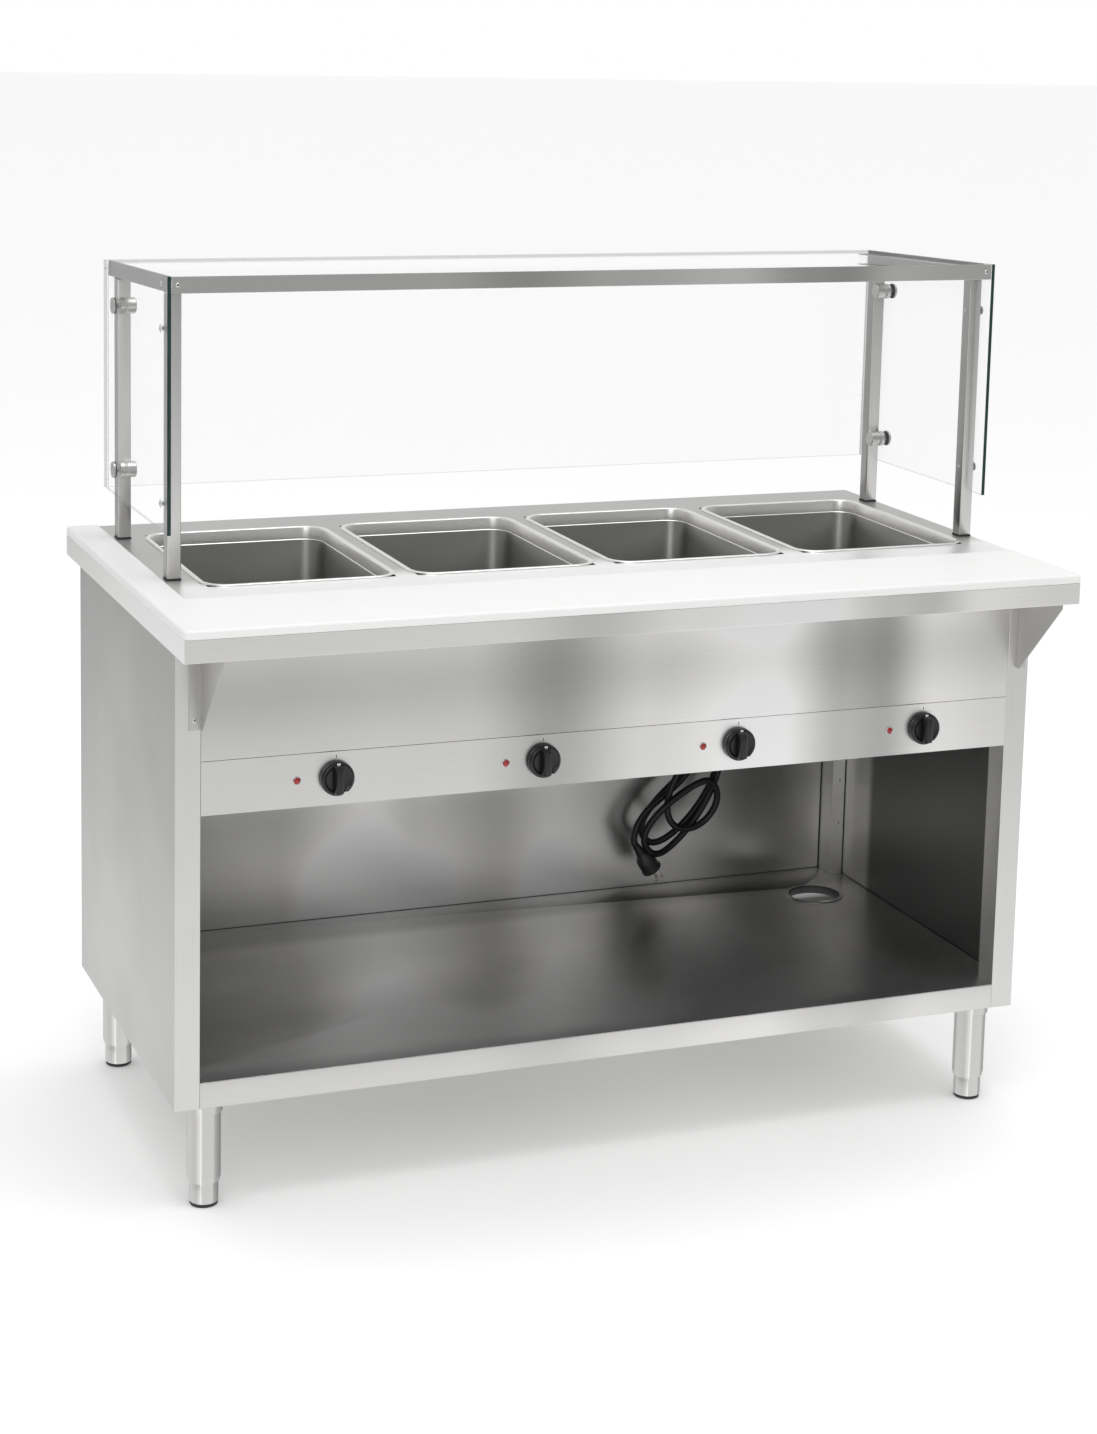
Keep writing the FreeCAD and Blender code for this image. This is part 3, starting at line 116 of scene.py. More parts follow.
class FoodTableStage(bpy.types.PropertyGroup):
    """Camera, floor and light."""
    camera_at: FloatVectorProperty(name="Camera", description="Place of the camera", size=3,
                                   subtype="TRANSLATION", default=(-1.60838, -3.97431, 1.77025))
    yaw: FloatProperty(name="Yaw", description="Camera's turn to the right", subtype="ANGLE",
                       default=math.radians(21.62))
    pitch: FloatProperty(name="Pitch", description="Camera's tilt downwards", subtype="ANGLE",
                         default=math.radians(8.79))
    roll: FloatProperty(name="Roll", description="Camera's roll", subtype="ANGLE",
                        default=math.radians(1.3))
    lens: FloatProperty(name="Lens", description="Focal length on a 36 mm frame",
                        default=68.69, unit="CAMERA")
    shift: FloatProperty(name="Shift", description="Rise of the lens", default=-0.2001)
    floor: colour("Floor", "Paper sweep under the table", (0.97, 0.97, 0.967))
    sky: FloatProperty(name="Room light", description="Light from all round", default=1.0, min=0)


def finish():
    return bpy.context.scene.food_table_finish


def shape():
    return bpy.context.scene.food_table_shape


# ---------------------------------------------------------------- materials

RAMP_TOP = 2                      # brightest factor that a ramp of tones holds


class Recipe:
    """A material's node tree, written as short chains."""

    def __init__(self, name):
        self.material = bpy.data.materials.new(name)
        self.material.use_nodes = True
        self.tree = self.material.node_tree
        self.shader = self.tree.nodes["Principled BSDF"]

    def node(self, kind, **values):
        made = self.tree.nodes.new("ShaderNode" + kind)
        for key, value in values.items():
            setattr(made, key, value)
        return made

    def link(self, start, end):
        self.tree.links.new(start, end)

    def surface(self, **values):
        for key, value in values.items():
            socket = self.shader.inputs[key.replace("_", " ")]
            socket.default_value = (*value, 1) if socket.type == "RGBA" else value

    def pattern(self, scale, stretch=(1, 1, 1), detail=2.0, source="Object"):
        """Noise on the piece's own coordinates, drawn out along an axis."""
        place = self.node("TexCoord")
        mapping = self.node("Mapping")
        mapping.inputs["Scale"].default_value = stretch
        noise = self.node("TexNoise")
        noise.inputs["Scale"].default_value = scale
        noise.inputs["Detail"].default_value = detail
        self.link(place.outputs[source], mapping.inputs["Vector"])
        self.link(mapping.outputs["Vector"], noise.inputs["Vector"])
        return noise.outputs["Fac"]

    def spread(self, value, low, high, start=0.3, end=0.7):
        """A value's middle stretch, mapped to a new range."""
        made = self.node("MapRange")
        made.inputs["From Min"].default_value = start
        made.inputs["From Max"].default_value = end
        made.inputs["To Min"].default_value = low
        made.inputs["To Max"].default_value = high
        self.link(value, made.inputs["Value"])
        return made.outputs["Result"]

    def run(self, way, low, high, stops, strength=1.0, source="Object"):
        """A soft run of brightness factors along a direction, as (share, factor) stops: painted
        light and shade.
        """
        place = self.node("TexCoord")
        along = self.node("VectorMath", operation="DOT_PRODUCT")
        along.inputs[1].default_value = way
        self.link(place.outputs[source], along.inputs[0])
        share = self.node("MapRange")
        share.inputs["From Min"].default_value = low
        share.inputs["From Max"].default_value = high
        self.link(along.outputs["Value"], share.inputs["Value"])
        made = self.node("ValToRGB")
        ramp = made.color_ramp
        ramp.interpolation = "EASE"
        for spot, _ in stops[2:]:
            ramp.elements.new(spot)
        for element, (spot, factor) in zip(ramp.elements, stops):
            element.position = spot
            element.color = (*[(1 + strength * (factor - 1)) / RAMP_TOP] * 3, 1)
        self.link(share.outputs["Result"], made.inputs["Fac"])
        restored = self.node("Math", operation="MULTIPLY")
        restored.inputs[1].default_value = RAMP_TOP
        self.link(made.outputs["Color"], restored.inputs[0])
        return restored.outputs["Value"]

    def times(self, colour_out, factor_out):
        made = self.node("VectorMath", operation="SCALE")
        self.link(colour_out, made.inputs[0])
        self.link(factor_out, made.inputs["Scale"])
        return made.outputs["Vector"]

    def tint(self, value, dark, light, start=0.3, end=0.7):
        """A value turned into a run between two colours."""
        made = self.node("ValToRGB")
        made.color_ramp.elements[0].position = start
        made.color_ramp.elements[0].color = (*dark, 1)
        made.color_ramp.elements[1].position = end
        made.color_ramp.elements[1].color = (*light, 1)
        self.link(value, made.inputs["Fac"])
        return made.outputs["Color"]

    def sum(self, first, second):
        made = self.node("Math", operation="ADD")
        self.link(first, made.inputs[0])
        self.link(second, made.inputs[1])
        return made.outputs["Value"]

    def bump(self, height, depth, strength=1.0):
        made = self.node("Bump")
        made.inputs["Strength"].default_value = strength
        made.inputs["Distance"].default_value = depth
        self.link(height, made.inputs["Height"])
        self.link(made.outputs["Normal"], self.shader.inputs["Normal"])

    def feed(self, value, socket):
        self.link(value, self.shader.inputs[socket])


def scaled(base, factor):
    return tuple(min(1.0, part * factor) for part in base)


# Noise scales of the finishes, in cells to the metre.
SCRATCHES, STROKES, CLOUDS, TURNING, GRIT, HAZE, SPECKS = 2600, 1100, 5.5, 900, 1400, 7, 30
FACETS, FILM, GRINDING = 700, 3, 300
ALONG_EDGE = (1, 1, 0.1)
GRAIN = {"x": (0.012, 1, 1), "y": (1, 0.012, 1), "z": (1, 1, 0.012)}


def brushed(name, base, grain, rough, painted_runs=(), wear=0.05):
    """Brushed stainless: fine scratches along the grain and faint cloudy handling marks,
    with painted reflections and shade: broad soft bands and gradients of tone laid on a sheet."""
    made = Recipe(name)
    scratches = made.pattern(SCRATCHES, GRAIN[grain], detail=3)
    strokes = made.pattern(STROKES, GRAIN[grain], detail=2)
    clouds = made.pattern(CLOUDS, detail=3)
    tone = made.tint(strokes, scaled(base, 0.98), scaled(base, 1.02))
    # Painted reflections and shade multiply the grain's tone.
    for run in painted_runs:
        tone = made.times(tone, made.run(*run))
    made.feed(tone, "Base Color")
    fine = made.spread(scratches, rough - 0.04, rough + 0.04)
    broad = made.spread(clouds, -wear / 2, wear)
    made.feed(made.sum(fine, broad), "Roughness")
    made.bump(made.sum(scratches, strokes), 0.00001, 0.15)
    made.surface(Metallic=1.0)
    return made.material


# Painted reflections round an upright tube, as bright and dark bands by (share from one side to
# the other, factor).
TUBE_PAINTED_REFLECTIONS = ((0, 0.42), (0.08, 0.80), (0.30, 0.74), (0.42, 0.98), (0.47, 1.25),
                (0.53, 0.84), (0.80, 0.86), (0.92, 0.48), (1, 0.22))
PAINTED_REFLECTIONS_WAY = (0.93, -0.37, 0)


def tube(name, base, rough):
    """Satin tube with painted reflections: long bright and dark bands set by the way its surface
    faces.
    """
    made = Recipe(name)
    scratches = made.pattern(SCRATCHES, (0.08, 0.08, 1), detail=3)
    painted_reflections = made.run(PAINTED_REFLECTIONS_WAY, -1, 1, TUBE_PAINTED_REFLECTIONS, source="Normal")
    tone = made.tint(scratches, scaled(base, 0.97), scaled(base, 1.03))
    made.feed(made.times(tone, painted_reflections), "Base Color")
    made.feed(made.spread(scratches, rough - 0.05, rough + 0.05), "Roughness")
    made.surface(Metallic=1.0)
    return made.material


def polished(name, base, rough):
    """Bright steel with faint turning marks."""
    made = Recipe(name)
    marks = made.pattern(TURNING, (1, 1, 8), detail=2)
    made.feed(made.tint(marks, scaled(base, 0.95), scaled(base, 1.03)), "Base Color")
    made.feed(made.spread(marks, rough - 0.04, rough + 0.05), "Roughness")
    made.surface(Metallic=1.0)
    return made.material


def cutting_board(name, base):
    """Dense white plastic with a very fine matt grain and light knife haze."""
    made = Recipe(name)
    haze = made.pattern(HAZE, detail=4)
    grain = made.pattern(GRIT, detail=2)
    made.feed(made.tint(haze, scaled(base, 0.985), base), "Base Color")
    made.feed(made.spread(grain, 0.40, 0.55), "Roughness")
    made.bump(grain, 0.00006, 0.25)
    made.surface(Subsurface_Weight=0.08, Subsurface_Radius=(0.004, 0.004, 0.004))
    return made.material


def moulded(name, base, rough, grain_depth=0.00003, scale=1600):
    """Moulded plastic or rubber with a fine skin."""
    made = Recipe(name)
    skin = made.pattern(scale, detail=2)
    dust = made.pattern(SPECKS, detail=4)
    made.feed(made.tint(dust, base, scaled(base, 1.35)), "Base Color")
    made.feed(made.sum(made.spread(skin, rough - 0.04, rough + 0.04),
                       made.spread(dust, -0.02, 0.04)), "Roughness")
    made.bump(skin, grain_depth, 0.4)
    return made.material


def lens(name, base):
    """Deep red lens with fine facets."""
    made = Recipe(name)
    facets = made.pattern(FACETS, detail=1)
    made.feed(made.tint(facets, scaled(base, 0.5), scaled(base, 1.25)), "Base Color")
    made.feed(made.spread(facets, 0.08, 0.16), "Roughness")
    made.surface(Coat_Weight=0.6)
    return made.material


def pane(name):
    """Clear glass face: mostly see-through, with a mirror that grows at grazing angles."""
    made = Recipe(name)
    film = made.pattern(FILM, detail=3)
    made.feed(made.spread(film, 0.015, 0.05), "Roughness")
    made.surface(Base_Color=(0.93, 0.955, 0.945), Alpha=0.07, IOR=1.5)
    made.material.surface_render_method = "BLENDED"
    return made.material


def pane_edge(name, base):
    """Ground edge of the glass, where the sheet's own green gathers."""
    made = Recipe(name)
    ground = made.pattern(GRINDING, ALONG_EDGE, detail=2)
    made.feed(made.tint(ground, scaled(base, 0.55), scaled(base, 1.5)), "Base Color")
    made.feed(made.spread(ground, 0.10, 0.2), "Roughness")
    return made.material


def pane_line(name):
    """Ground edge seen against the light, a thin pale grey line."""
    made = Recipe(name)
    ground = made.pattern(GRINDING, ALONG_EDGE, detail=2)
    made.feed(made.tint(ground, (0.10, 0.12, 0.115), (0.2, 0.22, 0.215)), "Base Color")
    made.surface(Alpha=0.4, Roughness=0.15)
    made.material.surface_render_method = "BLENDED"
    return made.material


# Painted reflections: soft bands of brightness, as (share of the sheet's length, factor).
FRONT_REFLECTION_BANDS = ((0, 0.95), (0.30, 1.0), (0.41, 0.60), (0.53, 1.15), (0.68, 1.55),
               (0.78, 0.75), (0.83, 0.62), (0.90, 1.3), (1.0, 1.1))
BACK_REFLECTION_BANDS = ((0, 0.6), (0.22, 0.9), (0.345, 1.75), (0.42, 1.25), (0.53, 0.9),
              (0.60, 1.25), (0.72, 0.85), (0.80, 1.0), (0.9, 0.5), (1.0, 0.6))
SHELF_REFLECTION_BANDS = ((0, 0.8), (0.1, 0.95), (0.22, 1.5), (0.35, 1.0), (0.46, 1.5), (0.56, 1.0),
               (0.64, 1.8), (0.76, 1.2), (0.84, 1.3), (0.92, 0.9))
SHELF_SLANT = 0.307               # how far the shelf's painted reflection bands lean to the right, to the depth
BAY_TOP = 0.5                     # height where the back panel's painted light ends, metres
SHEET_BASE = 0.6                  # tone that the steel's own colour stands for


def painted_panel_light():
    """Painted reflections and shade of the large sheets: each sheet's tone and its bands and
    gradients of brightness, measured from the pieces themselves.
    """
    low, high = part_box("front_fascia")
    left, right = low.x, high.x
    depth_low, depth_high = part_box("bottom_shelf")[0].y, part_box("bottom_shelf")[1].y
    along, across, upright = (1, 0, 0), (0, 1, 0), (0, 0, 1)
    slant = (1, -SHELF_SLANT, 0)
    shift = SHELF_SLANT * depth_low
    floor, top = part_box("back_panel")[0].z, high.z
    # Painted light: the fascia darker at middle height, the back panel brighter towards the
    # shelf, the side panel darker upwards, the shelf brighter towards the front, the inner side
    # face darker in front, the deck and the left trim brighter at their front edges.
    fascia = (upright, low.z, high.z, ((0, 1.1), (0.5, 0.92), (1, 1.2)))
    back_painted_light = (upright, floor, BAY_TOP, ((0, 1.9), (0.3, 1.75), (0.7, 1.05), (1, 0.85)))
    side = (upright, floor, top, ((0, 0.92), (0.25, 0.92), (0.7, 0.80), (1, 0.80)))
    reach = (across, depth_low, depth_high,
             ((0, 2.4), (0.12, 1.7), (0.35, 1.2), (0.8, 0.9), (0.88, 0.62), (1, 0.6)))
    inner = (across, depth_low, depth_high,
             ((0, 0.36), (0.76, 0.36), (0.80, 1.2), (1, 1.2)))
    deck_low, deck_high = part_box("deck")[0].y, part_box("deck")[1].y
    server = (across, deck_low, deck_high, ((0, 1.9), (0.12, 1.7), (0.25, 0.86), (1, 0.86)))
    # Each entry: grain, tone and painted light. The tones are lighter and darker copies of one
    # steel that follow how light falls, such as the lighter control panel and the darker inner
    # side face, post sides and end rails; the bands are painted reflections.
    return {
        "fascia": ("x", 0.68, [(along, left, right, FRONT_REFLECTION_BANDS), fascia]),
        "control": ("x", 0.76, [(along, left, right, FRONT_REFLECTION_BANDS, 0.8)]),
        "lip": ("x", 0.70, [(along, left, right, FRONT_REFLECTION_BANDS, 0.3)]),
        "trim": ("x", 0.86, [(along, left, right, FRONT_REFLECTION_BANDS, 0.55)]),
        "end_trim": ("y", 0.93, [(across, depth_low, depth_high, ((0, 1.12), (1, 0.96)))]),
        "side": ("z", 0.56, [side]),
        "side_inner": ("z", 0.42, [inner]),
        "back": ("x", 0.52, [(along, left, right, BACK_REFLECTION_BANDS), back_painted_light]),
        "shelf": ("x", 0.62, [(slant, left - shift, right - shift, SHELF_REFLECTION_BANDS), reach]),
        "deck": ("x", 0.60, [server]),
        "collar": ("z", 0.86, []),
        "corner": ("z", 0.74, []),
        "rail": ("x", 0.56, [(along, left, right, FRONT_REFLECTION_BANDS, 0.6)]),
        "end_rail": ("y", 0.40, []),
        "post": ("z", 0.74, []),
        "post_side": ("z", 0.42, []),
        "clamp": ("x", 0.58, []),
    }


def make_materials():
    """Every finish of the table, by its short name."""
    look = finish()
    made = {}
    for label, (grain, base, painted_runs) in painted_panel_light().items():
        made[label] = brushed(f"satin_{label}", scaled(look.steel, base / SHEET_BASE),
                              grain, look.satin, painted_runs)
    for grain in "xz":
        made[f"satin_{grain}"] = brushed(f"satin_steel_{grain}", look.steel, grain, look.satin)
        # The bay's sheets: the steel darkened as painted shade.
        made[f"bay_{grain}"] = brushed(f"bay_painted_shade_{grain}", look.bay, grain, look.satin)
    # The legs: a lighter tone of the steel with painted reflections.
    made["leg"] = tube("leg_tube_painted_reflections", scaled(look.steel, 1.25), look.satin)
    made["well"] = brushed("well_steel", look.pan, "z", look.satin + 0.06)
    made["bright"] = polished("bright_steel", look.bright, look.polish)
    made["board"] = cutting_board("cutting_board", look.board)
    made["rubber"] = moulded("black_rubber", look.rubber, 0.62)
    made["knob"] = moulded("knob_black", look.knob, 0.20, 0.00001)
    made["mark"] = moulded("mark_white", (0.62, 0.62, 0.61), 0.5)
    made["ink"] = moulded("panel_ink", (0.05, 0.05, 0.05), 0.5)
    made["washer"] = moulded("clear_washer", (0.55, 0.56, 0.56), 0.35)
    made["shade"] = moulded("painted_shade_black", (0.018, 0.018, 0.018), 0.5)
    made["recess"] = moulded("screw_recess", (0.03, 0.03, 0.03), 0.6)
    made["grey"] = moulded("grey_plastic", (0.20, 0.20, 0.205), 0.45)
    made["nylon"] = moulded("black_nylon", look.rubber, 0.38)
    made["jacket"] = moulded("cord_jacket", look.jacket, 0.42, 0.00004, 900)
    made["lamp"] = lens("pilot_lens", look.lamp)
    made["nickel"] = polished("nickel_pins", look.nickel, 0.22)
    made["element"] = polished("element_sheath", (0.16, 0.15, 0.14), 0.42)
    made["glass"] = pane("guard_glass")
    made["glass_edge"] = pane_edge("guard_glass_edge", look.glass_edge)
    made["glass_line"] = pane_line("guard_glass_arris")
    return made


MATERIALS = {}


def material(name):
    if not MATERIALS:
        MATERIALS.update(make_materials())
    return MATERIALS[name]


# ---------------------------------------------------------------- making pieces

DOUBLES = 0.01 * MM               # corners of a CAD mesh nearer than this are one corner
TURNS = {"z": Matrix.Identity(4), "-y": Matrix.Rotation(math.pi / 2, 4, "X")}


def in_mm(profile):
    """Radius and height pairs drawn in millimetres, in metres."""
    return [(radius * MM, height * MM) for radius, height in profile]


def outward_of(side):
    """Direction along X that leads out of the table on a side."""
    return -1 if side == "left" else 1


def add_piece(name, made, body, finishes, nodes=(), smooth=None):
    """Turn a bmesh into a piece that rides on a body and stands for CAD nodes."""
    mesh = bpy.data.meshes.new(name)
    made.to_mesh(mesh)
    made.free()
    for label in finishes:
        mesh.materials.append(material(label))
    if smooth is not None:
        mesh.shade_smooth()
        mesh.set_sharp_from_angle(angle=math.radians(smooth))
    piece = bpy.data.objects.new(name, mesh)
    bpy.context.collection.objects.link(piece)
    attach(piece, body)
    if nodes:
        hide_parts(*nodes)
    return piece


def keep_node(node, label):
    """Give a CAD node a better material and leave its shape alone."""
    for index in range(max(1, len(NODES[node].material_slots))):
        if index >= len(NODES[node].material_slots):
            NODES[node].data.materials.append(material(label))
        NODES[node].material_slots[index].material = material(label)


def merged_copy(node):
    """A CAD node's mesh with its doubles merged and its flats joined."""
    made = bmesh.new()
    made.from_mesh(NODES[node].data)
    bmesh.ops.remove_doubles(made, verts=made.verts, dist=DOUBLES)
    bmesh.ops.dissolve_limit(made, angle_limit=math.radians(0.6), verts=made.verts,
                             edges=made.edges, delimit={"NORMAL"})
    for face in made.faces:
        face.material_index = 0
    return made


def ease(made, radius, segments=2, chosen=None, least=30):
    """Round the sharp edges of a bmesh, or those that a test picks."""
    edges = [edge for edge in made.edges
             if edge.is_manifold and edge.calc_face_angle(0) > math.radians(least)]
    if chosen:
        edges = [edge for edge in edges if chosen(edge)]
    bmesh.ops.bevel(made, geom=edges, offset=radius, offset_type="OFFSET", segments=segments,
                    profile=0.5, affect="EDGES", clamp_overlap=True, material=-1)
    return made


def eased_node(node, body, finish_name, radius, segments=2, smooth=None):
    """A CAD node with its edges rounded as folded or ground metal is."""
    made = ease(merged_copy(node), radius, segments)
    return add_piece(f"{node}_eased", made, body, [finish_name], [node], smooth)


def turned(profile, axis="z", at=(0, 0, 0), steps=None):
    """A closed solid spun from radius and height pairs about an axis through a point."""
    made = bmesh.new()
    spots = [made.verts.new((radius, 0, height)) for radius, height in profile]
    count = len(spots)
    edges = [made.edges.new((spots[index], spots[(index + 1) % count]))
             for index in range(count)]
    bmesh.ops.spin(made, geom=spots + edges, cent=(0, 0, 0), axis=(0, 0, 1), dvec=(0, 0, 0),
                   angle=2 * math.pi, steps=steps or shape().turn_steps, use_merge=True)
    bmesh.ops.remove_doubles(made, verts=made.verts, dist=DOUBLES / 10)
    loose = [edge for edge in made.edges if not edge.link_faces]
    bmesh.ops.delete(made, geom=loose, context="EDGES")
    bmesh.ops.recalc_face_normals(made, faces=made.faces)
    bmesh.ops.transform(made, matrix=Matrix.Translation(at) @ TURNS[axis], verts=made.verts)
    return made


def bar(low, high, radius=0.0):
    """A block between two corners, with eased edges."""
    made = bmesh.new()
    bmesh.ops.create_cube(made, size=1)
    size = Vector(high) - Vector(low)
    middle = (Vector(high) + Vector(low)) / 2
    bmesh.ops.scale(made, vec=size, verts=made.verts)
    bmesh.ops.translate(made, vec=middle, verts=made.verts)
    if radius:
        ease(made, radius)
    return made


def take_in(made, other, material_index=None):
    """Move another bmesh's faces into this one."""
    if material_index is not None:
        for face in other.faces:
            face.material_index = material_index
    mesh = bpy.data.meshes.new("taken_in")
    other.to_mesh(mesh)
    other.free()
    made.from_mesh(mesh)
    bpy.data.meshes.remove(mesh)


# ---------------------------------------------------------------- cabinet

# Painted light: bay_x and bay_z give the bay's sheets painted shade; the fascia and the control
# panel carry painted reflections.
CABINET_SHEETS = {
    "rear_post_left": "bay_z", "rear_post_right": "satin_z", "front_fascia": "fascia",
    "control_panel": "control", "housing_floor": "bay_x", "leg_plates": "satin_x",
    "counter_brackets": "satin_z", "junction_box": "satin_x",
}


def build_cabinet():
    """The cabinet's sheets, the port in its shelf and the strips of painted gap shadow in its
    bay.
    """
    for node, label in CABINET_SHEETS.items():
        eased_node(node, "cabinet", label, shape().sheet_ease)
    for side in SIDES:
        build_side(side)
    build_back_and_shelf()
    build_shelf_port()
    build_stiffener()
    build_gap_shadows()


BROAD = 0.004                     # square metres


def long_fold(edge):
    """Edges between two broad faces, which are the folds of a sheet."""
    return min(face.calc_area() for face in edge.link_faces) > BROAD


def folded_sheet(node):
    """A CAD sheet with soft folds and just broken cut edges."""
    made = merged_copy(node)
    ease(made, shape().fold, 4, long_fold)
    ease(made, shape().sheet_ease, 1, least=60)
    return made


def build_side(side):
    """A side panel with softly folded corners; its inner face carries its own painted shade, and
    its folds a lighter painted tone.
    """
    node = f"side_panel_{side}"
    low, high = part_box(node)
    made = folded_sheet(node)
    inwards = -outward_of(side)
    outer = low.x if side == "left" else high.x
    wall = 4 * MM
    # Painted light: the inner face against the wall takes a darker tone of painted shade, the
    # folds' other faces a lighter tone of painted light.
    for face in made.faces:
        middle = face.calc_center_median()
        near_wall = abs(middle.x - outer) < wall
        if near_wall and face.normal.x * inwards > 0.5:
            face.material_index = 1
        elif face.normal.x * inwards > 0.5 or abs(face.normal.y) > 0.5:
            face.material_index = 2
    add_piece(f"{node}_folded", made, "cabinet",
              ["side", "side_inner", "corner"], [node], smooth=30)


def build_back_and_shelf():
    """Back panel and bottom shelf, with painted reflections and shade on the shelf and on the
    back panel's side towards the bay.
    """
    made = ease(merged_copy("back_panel"), shape().sheet_ease)
    # The back panel's face towards the bay takes painted reflections; its rear face keeps the
    # plain steel.
    for face in made.faces:
        face.material_index = 1 if face.normal.y > 0.5 else 0
    add_piece("back_panel_eased", made, "cabinet", ["back", "satin_x"],
              ["back_panel"])
    made = folded_sheet("bottom_shelf")
    for face in made.faces:
        face.material_index = 0 if face.normal.z > 0.9 else 1
    add_piece("bottom_shelf_folded", made, "cabinet", ["shelf", "lip"],
              ["bottom_shelf"], smooth=30)


def build_shelf_port():
    """Bright ring in the shelf's round port, its bore painted near black as painted shade."""
    low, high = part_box("shelf_port_ring")
    middle = (low + high) / 2
    radius = (high.x - low.x) / 2
    band, sleeve, flange = 7.5 * MM, 1.4 * MM, 1.5 * MM
    bore = radius - band
    profile = [(bore, low.z), (bore + sleeve, low.z), (bore + sleeve, high.z - flange),
               (radius, high.z - flange), (radius - 0.4 * MM, high.z - 0.6 * MM),
               (radius - 2 * MM, high.z), (bore + 1.8 * MM, high.z),
               (bore + 0.4 * MM, high.z - 0.7 * MM), (bore, high.z - 2 * MM)]
    ring = turned(profile, at=(middle.x, middle.y, 0), steps=64)
    # Painted shade: the bore's faces take a near-black material.
    for face in ring.faces:
        spot = face.calc_center_median() - middle
        face.material_index = int(math.hypot(spot.x, spot.y) < bore + 1.2 * MM)
    add_piece("shelf_port_trim", ring, "cabinet", ["satin_x", "shade"],
              ["shelf_port_ring"], smooth=50)


def build_stiffener():
    """Angle under the shelf, just in front of the rear leg plates and below the port."""
    low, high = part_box("leg_plates")
    rear_axis = max(y for _, _, y in leg_axes())
    gap, lift, foot, sheet, edge = 3 * MM, 3.5 * MM, 17 * MM, 1.5 * MM, 0.4 * MM
    face = 2 * rear_axis - high.y - gap
    under = low.z + lift
    made = bar((low.x, face - sheet, under), (high.x, face, high.z - 1 * MM), edge)
    take_in(made, bar((low.x, face - foot, under),
                      (high.x, face - sheet - 0.1 * MM, under + sheet), edge))
    # The stiffener takes the bay's painted shade.
    add_piece("shelf_stiffener", made, "cabinet", ["bay_x"])


def build_gap_shadows():
    """Dark strips of painted shadow in the gaps where the shelf, the back and the rear right
    post meet.
    """
    shelf_low, shelf_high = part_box("bottom_shelf")
    post_low, post_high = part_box("rear_post_right")
    gap, proud, sunk, front = 1.8 * MM, 0.4 * MM, 0.2 * MM, 20 * MM
    top = shelf_high.z
    made = bar((shelf_low.x, shelf_high.y - gap, top - sunk),
               (post_low.x, shelf_high.y, top + proud))
    take_in(made, bar((shelf_high.x - gap, shelf_low.y + front, top - sunk),
                      (shelf_high.x, post_low.y, top + proud)))
    take_in(made, bar((post_high.x - gap, post_low.y - proud, top),
                      (post_high.x, post_low.y + sunk, post_high.z)))
    take_in(made, bar((post_low.x - gap, post_high.y - 0.5 * MM, top),
                      (post_low.x + sunk, post_high.y, post_high.z)))
    add_piece("bay_gap_shadows", made, "cabinet", ["shade"])


# ---------------------------------------------------------------- counter


def build_counter():
    """Deck, aprons and the cutting board."""
    # The deck and the trims carry painted reflections and shade.
    for node, label in (("deck", "deck"), ("trim_front", "trim"), ("trim_left", "end_trim")):
        eased_node(node, "cabinet", label, shape().sheet_ease)
    build_board()
    build_apron_ends()


def build_apron_ends():
    """Plates that close the open right end of the front apron and rear end of the left one."""
    gap, inset = 0.5 * MM, 2 * MM        # clear of the sheet's edges, and to the inner face
    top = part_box("board_front")[0].z - gap
    low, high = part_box("trim_front")
    made = bar((high.x - inset, low.y + gap, low.z + gap), (high.x - gap, high.y - gap, top))
    low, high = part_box("trim_left")
    take_in(made, bar((low.x + gap, high.y - inset, low.z + gap),
                      (high.x - gap, high.y - gap, top)))
    add_piece("apron_ends", made, "cabinet", ["trim"])


def build_board():
    """One board round the corner, with a rounded corner and a soft upper outer edge."""
    low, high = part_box("board_front")
    end_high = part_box("board_left")[1]
    outline = [(low.x, low.y), (high.x, low.y), (high.x, high.y), (end_high.x, high.y),
               (end_high.x, end_high.y), (low.x, end_high.y)]
    made = bmesh.new()
    under = made.faces.new([made.verts.new((x, y, low.z)) for x, y in outline])
    raised = bmesh.ops.extrude_face_region(made, geom=[under])
    upper = [item for item in raised["geom"] if isinstance(item, bmesh.types.BMVert)]
    bmesh.ops.translate(made, vec=(0, 0, high.z - low.z), verts=upper)
    bmesh.ops.recalc_face_normals(made, faces=made.faces)

    def outer(edge, axis, value):
        return all(abs(vert.co[axis] - value) < MM / 10 for vert in edge.verts)

    def corner(edge):
        return outer(edge, 0, low.x) and outer(edge, 1, low.y)

    def outer_top(edge):
        middle = (edge.verts[0].co + edge.verts[1].co) / 2
        if not outer(edge, 2, high.z):
            return False
        near_corner = max(middle.x - low.x, middle.y - low.y) < shape().corner
        return outer(edge, 0, low.x) or outer(edge, 1, low.y) or near_corner

    ease(made, shape().corner, 6, corner)
    ease(made, shape().board_ease, 5, outer_top, least=8)
    ease(made, 0.4 * MM, 1, least=60)
    add_piece("cutting_board", made, "cabinet", ["board"],
              ["board_front", "board_left"], smooth=30)


# A well's rolled rim, as steps inwards and heights above the deck, and the step below
# its collar, as steps inwards and depths below the collar, all in millimetres.
RIM_ROLL = [(0.3, 1.3), (0.7, 2.1), (1.2, 2.7), (1.8, 2.9), (1.8, 2.7), (1.2, 2.1),
            (0.7, 1.1), (0.5, -0.5)]
COLLAR_STEP = [(0.5, 0), (1.0, 0.9), (0.6, 1.8)]
WELL_CORNER, WELL_TAPER, WELL_WALL = 42 * MM, 2 * MM, 0.7 * MM
FLOOR_STEPS = 5


def ring_step(made, face, inwards, height):
    """Inset a face and set the height of its new outline."""
    bmesh.ops.inset_individual(made, faces=[face], thickness=inwards, depth=0,
                               use_even_offset=True)
    for vert in face.verts:
        vert.co.z = height


